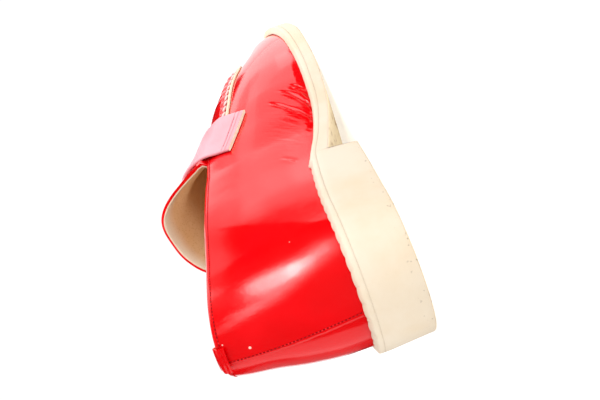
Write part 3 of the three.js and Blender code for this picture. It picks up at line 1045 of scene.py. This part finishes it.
seam, seam_forward, seam_away, seam_up, seam_run = seam_route(LIP_STARTS, LIP_STATIONS, LIP_OUTSIDE)
pinch = np.abs(np.sin(math.pi * seam_run / STITCH_PITCH))
rings = []
for corner in LIP_SECTION:
    standing = LIP_HIGH * (1 - 0.12 * (1 - pinch)) if corner["up"] > 0 else np.ones(len(seam))
    bulge = corner["out"] * LIP_WIDE * (0.92 + 0.1 * pinch)
    rings.append(seam + seam_away * bulge[:, None] + seam_up * (corner["up"] * standing)[:, None])
lip = laid_grid("plug_seam_edge", np.stack(rings, 1), wrap_columns=True, slots=lip_slots)
dress(lip, "upper", "upper_red", RAW_EDGE, EDGE_FOOT_SHADE)

# %% [markdown]
# One stitch is modelled, a small ball drawn out to a bead, and copied to every spot of a row. Copies
# could be linked objects, but a row is sewn in one go, so it is handed over as one mesh.

# %% Stitches
STITCH_LONG, STITCH_THICK = 4.1, 1.4
STITCH_SLANT = 0.45
STITCH_IN, STITCH_UP = 1.3, 1.05
BEAD_FLAT = 0.8


def bead(length, thick):
    """One stitch: a small ball drawn out along X, in millimetres."""
    bpy.ops.object.select_all(action="DESELECT")
    bpy.ops.mesh.primitive_uv_sphere_add(segments=8, ring_count=6, radius=0.5)
    ball = bpy.context.object

    def draw_out():
        bpy.ops.transform.resize(value=(length, thick, thick * BEAD_FLAT))

    edit_all(ball, draw_out)
    corners = np.array([v.co for v in ball.data.vertices])
    faces = [tuple(p.vertices) for p in ball.data.polygons]
    bpy.data.objects.remove(ball)
    return corners, faces


def sewn(name, spots, forward, up, length, thick):
    """Copies of one stitch joined in one mesh: each lies at a spot, along forward, flat under up."""
    corners, faces = bead(length, thick)
    forward = unit(forward)
    aside = unit(np.cross(up, forward))
    frames = np.stack([forward, aside, np.cross(forward, aside)], 1)
    points = spots[:, None, :] + np.einsum("vk,nkc->nvc", corners, frames)
    starts = range(0, len(spots) * len(corners), len(corners))
    every = [tuple(i + start for i in face) for start in starts for face in faces]
    mesh = bpy.data.meshes.new(name)
    mesh.from_pydata(in_frame(points.reshape(-1, 3)).tolist(), [], every)
    piece = bpy.data.objects.new(name, mesh)
    bpy.context.collection.objects.link(piece)
    pick(piece)
    bpy.ops.object.shade_smooth()
    print(name, len(spots), "stitches")
    return piece


knots = np.arange(STITCH_PITCH / 2, seam_run[-1], STITCH_PITCH)
knot_at = along_route(seam, seam_run, knots)
knot_forward = along_route(seam_forward, seam_run, knots)
knot_away = along_route(seam_away, seam_run, knots)
knot_up = along_route(seam_up, seam_run, knots)
slant = knot_forward * math.cos(STITCH_SLANT) + knot_away * math.sin(STITCH_SLANT)
over_edge = knot_at - knot_away * STITCH_IN + knot_up * STITCH_UP
plug_stitches = sewn("plug_seam_stitches", over_edge, slant, knot_up, STITCH_LONG, STITCH_THICK)
dress(plug_stitches, "plug", "plug_red", PINK_THREAD)

# %% [markdown]
# ## The strap
# A band of pink leather lies across the instep, from quarter to quarter. Its edges are straight lines in
# the side view, so a point of it is found by its share of the width and its turn round the last. The
# height and the lean depend on each other, and a few rounds of correction settle them.

# %% Path of the strap
STRAP_REAR = [dict(x=124.4, z=50.7), dict(x=152, z=95.0)]
STRAP_FRONT = [dict(x=147.2, z=38.4), dict(x=172, z=82.0)]
SETTLING = 30
END_EASE = 50


def strap_surface(share, turn):
    """Point of the last under the strap: share from rear to front edge, turn from -1, medial end, to 1."""
    start = np.array([[row["x"], row["z"]] for row in (STRAP_REAR[0], STRAP_FRONT[0])], float)
    end = np.array([[row["x"], row["z"]] for row in (STRAP_REAR[1], STRAP_FRONT[1])], float)
    leans = (end - start)[:, 0] / (end - start)[:, 1]
    x0 = start[0, 0] + share * (start[1, 0] - start[0, 0])
    z0 = start[0, 1] + share * (start[1, 1] - start[0, 1])
    slope = leans[0] + share * (leans[1] - leans[0])
    lateral = turn >= 0
    sign = np.where(lateral, 1, -1)
    rise = 1 - np.abs(turn)
    x = np.array(x0 + 0 * turn, float)
    base = (z0 - edge_at(x0) - GAP) / (ridge_at(x0) - edge_at(x0) - GAP)
    low = np.arcsin(np.clip(base, 0, 1))
    lift = np.sin(low + (math.pi / 2 - low) * rise)
    for _ in range(SETTLING):
        edge = edge_at(x) + GAP
        z = edge + (ridge_at(x) - edge) * lift
        x = x0 + (z - z0) * slope * smooth_step(rise * END_EASE)
    top_y = centre_line(x) + RIDGE_SWING
    wide = np.abs(centre_line(x) + sign * plan_half(x, lateral) - top_y)
    out = (1 - lift**2) ** (1 / boxy_at(x))
    return np.stack([x, top_y + sign * wide * out, z], -1)


print("strap's medial corner, rear:", strap_surface(np.array(0.0), np.array(-1.0)).round(1))

# %% [markdown]
# The band is a flat section with rounded edges, swept over that path. It stands off the tongue at its
# rear, climbs over the plug seam, and is pressed in along two lines at each end, where it is creased and
# sewn. The grid's rows are closer there, so that the lines stay sharp.

# %% Strap
STRAP_THICK = 1.6
STRAP_SEAM = 0.074
STRAP_CREASE = 0.038
STRAP_ROUND = 0.03
STRAP_END = 0.90
REAR_STANDS_OFF = 1.7
MIDDLE_STANDS_OFF = 1.2
SEAM_CLIMB = 0.9
LINE_DEEP = 0.40
SMALL_SHARE = 0.01
SMALL_STEP = 0.004

flat_shares = np.linspace(STRAP_ROUND, 1 - STRAP_ROUND, 27)
end_rows = np.linspace(-1, -STRAP_END, 36)
turn_rows = np.concatenate([end_rows, np.linspace(-STRAP_END, STRAP_END, 88)[1:-1], -end_rows[::-1]])
round_steps = np.linspace(-math.pi / 2, math.pi / 2, 7)[1:-1]
section = [(s, 1.0) for s in flat_shares]
section += [(1 - STRAP_ROUND * (1 - math.cos(t)), 0.5 - 0.5 * math.sin(t)) for t in round_steps]
section += [(s, 0.0) for s in flat_shares[::-2]]
section += [(STRAP_ROUND * (1 - math.cos(t)), 0.5 + 0.5 * math.sin(t)) for t in round_steps]
shares, heights = np.array(section).T
share_grid, turn_grid = np.meshgrid(shares, turn_rows)


def strap_change(share_step, turn_step):
    """How the path moves between a small step back and a small step on."""
    ends = [(np.clip(share_grid + way * share_step, 0, 1), np.clip(turn_grid + way * turn_step, -1, 1))
            for way in (1, -1)]
    return strap_surface(*ends[0]) - strap_surface(*ends[1])


def strap_line(place, half_wide):
    """A pressed line across each end of the strap, on its upper face."""
    return LINE_DEEP * hump(1 - np.abs(turn_grid), place, half_wide) * heights


strap_up = unit(np.cross(strap_change(SMALL_SHARE, 0), strap_change(0, SMALL_STEP)))
at_middle = smooth_step(1 - np.abs(turn_grid) / 0.75)
stand_off = REAR_STANDS_OFF * smooth_step(1 - share_grid / 0.45) * at_middle
stand_off += MIDDLE_STANDS_OFF * smooth_step((0.88 - np.abs(turn_grid)) / 0.2)
over_seam = hump(np.abs(turn_grid), 0.80, 0.09)
stand_off += SEAM_CLIMB * smooth_step((share_grid - 0.25) / 0.3) * over_seam
pressed = strap_line(STRAP_SEAM, 0.005) + strap_line(STRAP_CREASE, 0.004)
strap_height = GAP + stand_off + heights * STRAP_THICK - pressed
strap_points = strap_surface(share_grid, turn_grid) + strap_up * strap_height[..., None]
strap = laid_grid("strap_band", strap_points, wrap_columns=True)

# %% [markdown]
# The strap's ends are cut straight and show raw leather. The grid leaves them open, so each is filled
# with one face that takes the strap's raw finish. That finish is a paler copy of the raw edge, painted
# light on ends that face down into shade.

# %% Strap ends
def close_ends():
    bpy.ops.mesh.select_all(action="DESELECT")
    bpy.ops.mesh.select_non_manifold(extend=False, use_wire=False, use_boundary=True, use_multi_face=False,
                                     use_non_contiguous=False, use_verts=False)
    bpy.ops.mesh.fill_holes(sides=0)


def face_outward():
    bpy.ops.mesh.normals_make_consistent(inside=False)


known = len(strap.data.polygons)
edit_all(strap, close_ends)
for face in strap.data.polygons:
    face.material_index = 1 if face.index >= known else 0
    face.use_smooth = face.index < known
edit_all(strap, face_outward)
dress(strap, "strap", "strap_pink", PINK, STRAP_EDGE_PAINTED_LIGHT)
print("strap ends closed:", len(strap.data.polygons) - known)

# %% [markdown]
# ## Sole and heel
# The sole unit is one moulding: a sole that rises at the arch and springs at the toe, and a long block
# heel with a flat breast. It is lofted by cross-sections from back to toe. At the breast two sections
# share one place, one with the heel below it and one without, and the face between them is the breast.

# %% Sole unit
EDGE_ROUND = 1.0
HEEL_TAPER = 1.2
TAPER_STARTS = 2.0
HEEL_SECTIONS, FORE_SECTIONS = 60, 110
TREAD_STEPS, TOP_STEPS = 14, 6
SMOOTH_BELOW = 40


def side_profile(top, bottom, taper):
    """Reach and height down one side of the sole, ending under its rounded lower edge."""
    straight = np.linspace(top, bottom + EDGE_ROUND, 9)
    start = top - TAPER_STARTS
    eased = np.clip((start - straight) / max(start - bottom - EDGE_ROUND, 0.1), 0, 1)
    turn = np.linspace(0, math.pi / 2, 6)[1:]
    reach = np.concatenate([REACH - taper * eased, REACH - taper - EDGE_ROUND * (1 - np.cos(turn))])
    return reach, np.concatenate([straight, bottom + EDGE_ROUND * (1 - np.sin(turn))])


def between(start, end, steps):
    """Points of a straight line between two others, without its ends."""
    return start + np.linspace(0, 1, steps)[1:-1, None] * (end - start)


def sole_section(angle, with_heel, at_breast):
    """One closed cross-section: down the lateral side, under, up the medial side and over the top."""
    sides = []
    for signed in (angle, -angle):
        x = float(plan_offset(np.array(signed), REACH)[0])
        bottom, taper = (0.0, HEEL_TAPER) if with_heel else (float(under_at(x)), 0.0)
        reach, z = side_profile(float(edge_at(x)), bottom, taper)
        plan = plan_offset(np.full(len(reach), signed), reach)
        if at_breast:
            plan[:, 0] = HEEL_LENGTH
        sides.append(np.column_stack([plan, z]))
    lateral, medial = sides
    tread = between(lateral[-1], medial[-1], TREAD_STEPS)
    top = between(medial[0], lateral[0], TOP_STEPS)
    return np.concatenate([lateral, tread, medial[::-1], top])


breast = math.acos(1 - 2 * HEEL_LENGTH / LAST_LENGTH)
heel_angles = np.linspace(0, breast, HEEL_SECTIONS)
fore_angles = np.linspace(breast, math.pi, FORE_SECTIONS)
sections = [sole_section(a, True, a == heel_angles[-1]) for a in heel_angles]
sections += [sole_section(a, False, a == fore_angles[0]) for a in fore_angles]
sole = laid_grid("sole_unit", np.stack(sections), wrap_columns=True)
round_edges(sole, 0.5, 2, 60)
bpy.ops.object.shade_smooth_by_angle(angle=math.radians(SMOOTH_BELOW))
dress(sole, "outsole", "sole_cream", CREAM)

# %% [markdown]
# ## Welt
# A strip of the same cream rubber goes round the shoe where upper and sole meet. Its upper edge is
# pressed by a toothed wheel round the heel and is smoother ahead of the waist, where a small nub marks
# the joint. The strip is a section swept round the plan, its inner height following the teeth.

# %% Welt
WELT_HEIGHT = 3.6
WELT_FALL = 0.9
WELT_SEAT = 0.04
WELT_STATIONS = 1100
WELT_JOINT = 78.0
NUB_HIGH, NUB_WIDE = 0.7, 0.9
TOOTH_PITCH = 6.5
TOOTH_DEPTH = 0.42
TOOTH_SHAPE = 0.7
FRONT_TEETH = 0.25
WELT_SECTION = [
    dict(out=1.0, up=0.0),
    dict(out=1.0, up=0.35),
    dict(out=1.0, up=0.68),
    dict(out=0.97, up=0.82),
    dict(out=0.88, up=0.9),
    dict(out=0.55, up=0.95),
    dict(out=0.3, up=0.985),
    dict(out=0.12, up=1.0),
    dict(out=0.03, up=0.97),
    dict(out=0.02, up=0.5),
    dict(out=0.02, up=0.0),
]

welt_angles = 2 * math.pi * np.arange(WELT_STATIONS) / WELT_STATIONS
welt_edge = plan_offset(welt_angles, np.full(WELT_STATIONS, REACH))
teeth = np.abs(np.sin(math.pi * walked(welt_edge) / TOOTH_PITCH)) ** TOOTH_SHAPE
behind = smooth_step((WELT_JOINT - welt_edge[:, 0]) / 4.0)
tooth_top = WELT_HEIGHT - TOOTH_DEPTH * (1 - teeth) * (FRONT_TEETH + (1 - FRONT_TEETH) * behind)
nub = NUB_HIGH * hump(welt_edge[:, 0], WELT_JOINT, NUB_WIDE)
tooth_top += nub * (np.sin(welt_angles) < 0)
welt_rings = []
for corner in WELT_SECTION:
    plan = plan_offset(welt_angles, np.full(WELT_STATIONS, corner["out"] * REACH))
    fall = WELT_FALL * smooth_step((corner["out"] - 0.1) / 0.9)
    height = edge_at(plan[:, 0]) + WELT_SEAT + corner["up"] * (tooth_top - fall - WELT_SEAT)
    welt_rings.append(np.column_stack([plan, height]))
welt = laid_grid("welt_strip", np.stack(welt_rings, 1), wrap_columns=True, wrap_rows=True)
dress(welt, "welt", "welt_cream", CREAM)

# %% [markdown]
# ## Insole
# The sock inside is a thin pad on the sole's top, with its rim turned up a little against the lining. It
# is lofted across like the sole, and what cannot be seen of it is kept plain.

# %% Insole
INSOLE_THICK = 2.4
INSOLE_CUP = 0.9
INSOLE_REACH = -(WALL + GAP)
INSOLE_STATIONS, INSOLE_STEPS = 90, 21
inner_angles = np.linspace(0, math.pi, INSOLE_STATIONS)
lateral_rim, medial_rim = [plan_offset(side * inner_angles, np.full(INSOLE_STATIONS, INSOLE_REACH))
                           for side in (1, -1)]
pad_share = np.linspace(0, 1, INSOLE_STEPS)
pad = lateral_rim[:, None, :] + pad_share[None, :, None] * (medial_rim - lateral_rim)[:, None, :]
pad_base = edge_at(pad[..., 0]) + GAP
cup = INSOLE_CUP * np.abs(2 * pad_share - 1) ** 6
pad_top = pad_base + INSOLE_THICK - INSOLE_CUP + cup[None, :]
top_face = np.concatenate([pad, pad_top[..., None]], -1)
low_face = np.concatenate([pad, pad_base[..., None]], -1)
insole = laid_grid("insole_sock", np.concatenate([top_face, low_face[:, ::-1]], 1), wrap_columns=True)
dress(insole, "insole", "insole_tan", LINING)

# %% [markdown]
# ## Back tab
# A short strip is folded over the topline at the back, where the seam ends. Stitching has pressed it into
# two soft ridges. It takes the upper's own path over the edge, moved out by its thickness, and gets that
# thickness from Solidify.

# %% Back tab
TAB_DROP = 2.6
TAB_THICK = 0.9
TAB_TURN = 0.135
TAB_COLUMNS, TAB_PATH, TAB_ROWS = 31, 200, 12
TAB_SWELL, TAB_RIDGE = 0.12, 0.34
TAB_SEAT = GAP + TAB_THICK / 2
tab_angles = np.linspace(-TAB_TURN, TAB_TURN, TAB_COLUMNS)
tab_wall = np.stack([wall_path(angle % (2 * math.pi), TAB_PATH, WALL / 2) for angle in tab_angles], 1)
tab_out = grid_normals(tab_wall)
tab_pitch = np.linalg.norm(tab_wall[-1, TAB_COLUMNS // 2] - tab_wall[-2, TAB_COLUMNS // 2])
tab_first = TAB_PATH - 1 - max(3, int(TAB_DROP / tab_pitch))
picked = np.unique(np.linspace(tab_first, TAB_PATH - 1, TAB_ROWS).astype(int))
tab_face, tab_face_out = tab_wall[picked], tab_out[picked]
ridges = np.abs(np.sin(2 * math.pi * np.linspace(0.04, 0.96, len(picked)))) ** 0.7
tab_lift = LAP_STEP + TAB_SEAT + TAB_SWELL + TAB_RIDGE * ridges
tab_outside = tab_face + tab_face_out * tab_lift[:, None, None]
tab_roll = rolled(tab_wall[-1], tab_out[-1], unit(tab_wall[-1] - tab_wall[-4]), WALL / 2 + TAB_SEAT)
tab_inside = (tab_face - tab_face_out * (WALL + TAB_SEAT))[::-1]
tab = laid_grid("back_tab_fold", np.concatenate([tab_outside, np.stack(tab_roll), tab_inside]))
finish_with(tab, "SOLIDIFY", thickness=TAB_THICK * MM, offset=0, use_even_offset=True)
round_edges(tab, 0.35, 3, 50)
dress(tab, "back_tab", "tab_red", RED)

# %% [markdown]
# ## Stitch rows of the quarters
# The topline is stitched close under its edge, and the back seam beside its lap. Each stitch is a short
# bead half sunk in the leather with a dark bead at its end, painted shade for the needle hole, and each
# row follows the upper's own rows and columns.

# %% Topline and back seam stitches
TOP_DROP = 0.9
BACK_SEAM_BESIDE = 1.3
FINE_STITCH = dict(pitch=1.4, length=0.85, thick=0.5)
SEAM_STITCH = dict(pitch=1.4, length=0.85, thick=0.55)
STITCH_STANDS = 0.05
HOLE_OVERLAP = 0.35
TAB_COVERS = 0.14


def beside_edge(drop):
    """The wall's points and normals a drop under the opening, one for each column."""
    lengths = np.linalg.norm(np.diff(skin, axis=0), axis=2).sum(0)
    row = (WALL_ROWS - 1) * (1 - drop / lengths)
    low = np.floor(row).astype(int)
    part = (row - low)[:, None]
    column = np.arange(len(angles))
    spots = skin[low, column] * (1 - part) + skin[low + 1, column] * part
    return spots, skin_out[low, column]


def sewn_row(name, route, normals, pitch, length, thick):
    """Stitches, and dark beads of painted shade for the needle holes, at an even pitch along a route."""
    run = walked(route)
    spots = np.arange(pitch, run[-1] - pitch / 2, pitch)
    forward = along_route(np.gradient(route, axis=0), run, spots)
    up = along_route(normals, run, spots)
    threads_at = along_route(route, run, spots) + up * STITCH_STANDS
    holes_at = along_route(route, run, spots + pitch / 2)
    threads = sewn(name + "_stitches", threads_at, forward, up, length, thick)
    holes = sewn(name + "_needle_holes", holes_at, forward, up, pitch - length + HOLE_OVERLAP, thick)
    return threads, holes


def on_seam(grid, past):
    """Points of a wall grid a little past the back seam, one for each row."""
    order = np.argsort(past_back)
    places = seam_at + past
    return np.array([[np.interp(place, past_back[order], line[order, k]) for k in range(3)]
                     for place, line in zip(places, grid)])[4:-4]


top_spots, top_normals = beside_edge(TOP_DROP)
quarter = (top_spots[:, 0] < THROAT - 1) & (np.abs(np.sin(angles)) > TAB_COVERS)
stitch_rows = []
for side, chosen in (("lateral", quarter & (np.sin(angles) > 0)), ("medial", quarter & on_medial)):
    stitch_rows += sewn_row(side + "_topline", top_spots[chosen], top_normals[chosen], **FINE_STITCH)
seam_spots, seam_normals = [on_seam(grid, BACK_SEAM_BESIDE) for grid in (skin, skin_out)]
stitch_rows += sewn_row("back_seam", seam_spots, seam_normals, **SEAM_STITCH)
for piece in stitch_rows:
    dress(piece, "upper", "upper_red", HOLE_SHADE if "holes" in piece.name else RED_THREAD)

# %% [markdown]
# The strap has one row of longer stitches in the inner of the two pressed lines at each end. Its route is
# the strap's own grid row there.

# %% Strap stitches
STRAP_STITCH = dict(pitch=2.2, length=1.6, thick=0.42)
flat = slice(1, len(flat_shares) - 1)
for side, turn in (("medial", STRAP_SEAM - 1), ("lateral", 1 - STRAP_SEAM)):
    nearest = int(np.argmin(np.abs(turn_rows - turn)))
    route, normals = strap_points[nearest, flat], strap_up[nearest, flat]
    for piece in sewn_row(side + "_strap_end", route, normals, **STRAP_STITCH):
        dress(piece, "strap", "strap_pink", ROSE_THREAD)

# %% [markdown]
# ## Camera
# The camera stands low behind the medial side and is rolled, so that the toe points up the picture. Its
# place, its lens and its roll are those of the viewing angle wanted, and it is aimed at the shoe's
# middle.

# %% Camera
EYE = np.array([-304.7, -216.2, 39.8])
AHEAD = np.array([0.847, 0.518, -0.123])
RIGHT = np.array([-0.275, 0.227, -0.934])
LENS = 64.3
SENSOR = 36.0
AIM_RIGHT, AIM_DOWN = -124.0, -27.0
PIXELS_PER_LENS = 1071.8


def stand(item, place, right, up, back):
    """Stands a camera or a lamp at a place of the frame, turned to three directions."""
    turned = Matrix([[right[k], up[k], back[k]] for k in range(3)])
    item.matrix_world = Matrix.Translation(place) @ turned.to_4x4()
    bpy.context.collection.objects.link(item)


down = np.cross(unit(AHEAD), unit(RIGHT))
aim = unit(unit(AHEAD) * PIXELS_PER_LENS + unit(RIGHT) * AIM_RIGHT + unit(down) * AIM_DOWN)
camera_right = unit(RIGHT - aim * (RIGHT @ aim))
camera_data = bpy.data.cameras.new("camera")
camera_data.lens = LENS
camera_data.sensor_width = SENSOR
camera_data.clip_start = 10 * MM
camera = bpy.data.objects.new("camera", camera_data)
stand(camera, in_frame(EYE), camera_right, np.cross(camera_right, aim), -aim)
bpy.context.scene.camera = camera
print("camera at", in_frame(EYE).round(3))

# %% [markdown]
# ## Floor and light
# The floor is plain and pale. Mirrored rays pass it by, so that the gloss of the leather mirrors the
# panels alone.

# %% Floor
FLOOR_SIZE = 12.0
bpy.ops.object.select_all(action="DESELECT")
bpy.ops.mesh.primitive_grid_add(x_subdivisions=8, y_subdivisions=8, size=FLOOR_SIZE)
floor = bpy.context.object
floor.name = "pale_floor"
paper = Finish("pale_paper", Roughness=0.9, Emission_Color=(1, 1, 1, 1), Emission_Strength=0.5)
paper.feed("Base Color", paper.mix(paper.noise(3.0, 2.0), shade(202, 202, 202), shade(208, 208, 208)))
floor.data.materials.append(paper.material)
floor.visible_glossy = False
print("floor:", floor.name)

# %% [markdown]
# A white surround lights the shoe softly from all sides. Mirrored rays see it dim, as in a studio with
# dark walls, so that red stays deep between the panels.

# %% Surround
SURROUND = 1.06
SURROUND_MIRRORED = 0.015
world = bpy.data.worlds.new("studio")
bpy.context.scene.world = world
world.use_nodes = True
nodes, links = world.node_tree.nodes, world.node_tree.links
background = nodes["Background"]
background.inputs["Color"].default_value = (1.0, 1.0, 1.0, 1.0)
path = nodes.new("ShaderNodeLightPath")
dimmed = nodes.new("ShaderNodeMapRange")
dimmed.inputs["To Min"].default_value = SURROUND
dimmed.inputs["To Max"].default_value = SURROUND_MIRRORED
links.new(path.outputs["Is Glossy Ray"], dimmed.inputs["Value"])
links.new(dimmed.outputs["Result"], background.inputs["Strength"])
bpy.context.scene.view_settings.view_transform = "Standard"
print("surround:", world.name)

# %% [markdown]
# Soft panels give the gloss something to mirror. What a patch of leather mirrors is found by turning the
# line of sight about the patch's normal, and a panel is put where that line goes. On the medial side the
# panels form one wall of slabs, brighter or dimmer where the leather should be so. The others light the
# toe, the top and the far side.

# %% Panels
UPRIGHT = (0.0, 0.0, 1.0)
SIDE_WALL_Y = -120
SIDE_SLABS = [
    dict(rear=206, front=285, low=4, high=64, glow=0.85),
    dict(rear=285, front=419, low=4, high=30, glow=1.35),
    dict(rear=285, front=419, low=30, high=64, glow=1.05),
    dict(rear=206, front=345, low=64, high=86, glow=1.1),
    dict(rear=345, front=419, low=64, high=86, glow=0.85),
    dict(rear=208, front=419, low=86, high=110, glow=0.68),
    dict(rear=172, front=419, low=110, high=192, glow=0.55),
    dict(rear=40, front=172, low=112, high=170, glow=0.28),
    dict(rear=419, front=899, low=-20, high=192, glow=1.1),
]
PANELS = [
    dict(name="upper_panel", place=(420, -160, 420), target=(160, -20, 40), wide=800, high=330, glow=1.7),
    dict(name="front_panel", place=(900, 550, 330), target=(150, 0, 40), wide=900, high=640, glow=1.0),
    dict(name="toe_panel", place=(1150, 230, 22), target=(200, -30, 30), wide=800, high=436, glow=1.0),
    dict(name="far_side_panel", place=(320, 850, 110), target=(20, 0, 50), wide=1200, high=220, glow=0.2),
    dict(name="lateral_panel", place=(-290, 650, 110), target=(20, 0, 50), wide=600, high=500, glow=0.8),
    dict(name="top_panel", place=(180, 0, 900), target=(140, 0, 40), wide=900, high=600, glow=0.6,
         level=(0.0, 1.0, 0.0)),
]


def panel(name, place, target, wide, high, glow, level=UPRIGHT):
    """A soft panel that faces a target: sizes and places in the shoe's millimetres, glow its brightness."""
    lamp = bpy.data.lights.new(name, "AREA")
    lamp.shape = "RECTANGLE"
    lamp.size, lamp.size_y = wide * MM, high * MM
    lamp.energy = glow * math.pi * lamp.size * lamp.size_y
    lamp_object = bpy.data.objects.new(name, lamp)
    lamp_object.visible_camera = False
    back = unit(in_frame(place) - in_frame(target))
    side = unit(np.cross(level, back))
    stand(lamp_object, in_frame(place), side, np.cross(back, side), back)


for slab in SIDE_SLABS:
    x, z = (slab["rear"] + slab["front"]) / 2, (slab["low"] + slab["high"]) / 2
    size = slab["front"] - slab["rear"], slab["high"] - slab["low"]
    panel(f"side_panel_{slab['rear']}_{slab['low']}", (x, SIDE_WALL_Y, z), (x, 0, z), *size, slab["glow"])
for row in PANELS:
    panel(**row)
print("panels:", len(SIDE_SLABS) + len(PANELS))

# %% [markdown]
# The large glint on the quarter is a bundle of thin strips seen from one spot of the heel. Each strip
# runs between two bearings, a turn from straight ahead and a rise from level, in degrees. One short strip
# is far brighter than the rest and makes the white core; the others make its soft tail.

# %% Heel glint
HEEL_SPOT = np.array([13.0, -20.0, 50.0])
FAR = 900.0
HEEL_GLINT = [
    dict(start=(-79, 7.5), end=(-87, 8.0), wide=60, glow=2.6),
    dict(start=(-64, 12.0), end=(-92, 12.6), wide=60, glow=3.8),
    dict(start=(-71, 11.6), end=(-80, 12.4), wide=36, glow=56.0),
    dict(start=(-74, 15.0), end=(-88, 15.2), wide=32, glow=3.4),
    dict(start=(-82, 15.4), end=(-98, 15.8), wide=42, glow=4.4),
    dict(start=(-88, 18.4), end=(-106, 19.0), wide=56, glow=4.8),
    dict(start=(-92, 22.4), end=(-112, 23.2), wide=78, glow=3.8),
    dict(start=(-105, 28.0), end=(-120, 29.0), wide=90, glow=2.0),
    dict(start=(-116, 32.5), end=(-131, 34.0), wide=80, glow=1.0),
]


def bearing(turn, rise):
    """Unit direction of a turn from straight ahead and a rise from level, in degrees."""
    turn, rise = math.radians(turn), math.radians(rise)
    return np.array([math.cos(turn) * math.cos(rise), math.sin(turn) * math.cos(rise), math.sin(rise)])


for number, strip in enumerate(HEEL_GLINT):
    first, last = bearing(*strip["start"]) * FAR, bearing(*strip["end"]) * FAR
    across, middle = last - first, (first + last) / 2
    length = np.linalg.norm(across)
    panel(f"heel_glint_{number}", HEEL_SPOT + middle, HEEL_SPOT, length, strip["wide"], strip["glow"],
          np.cross(across, middle))
print("strips of the glint:", len(HEEL_GLINT))
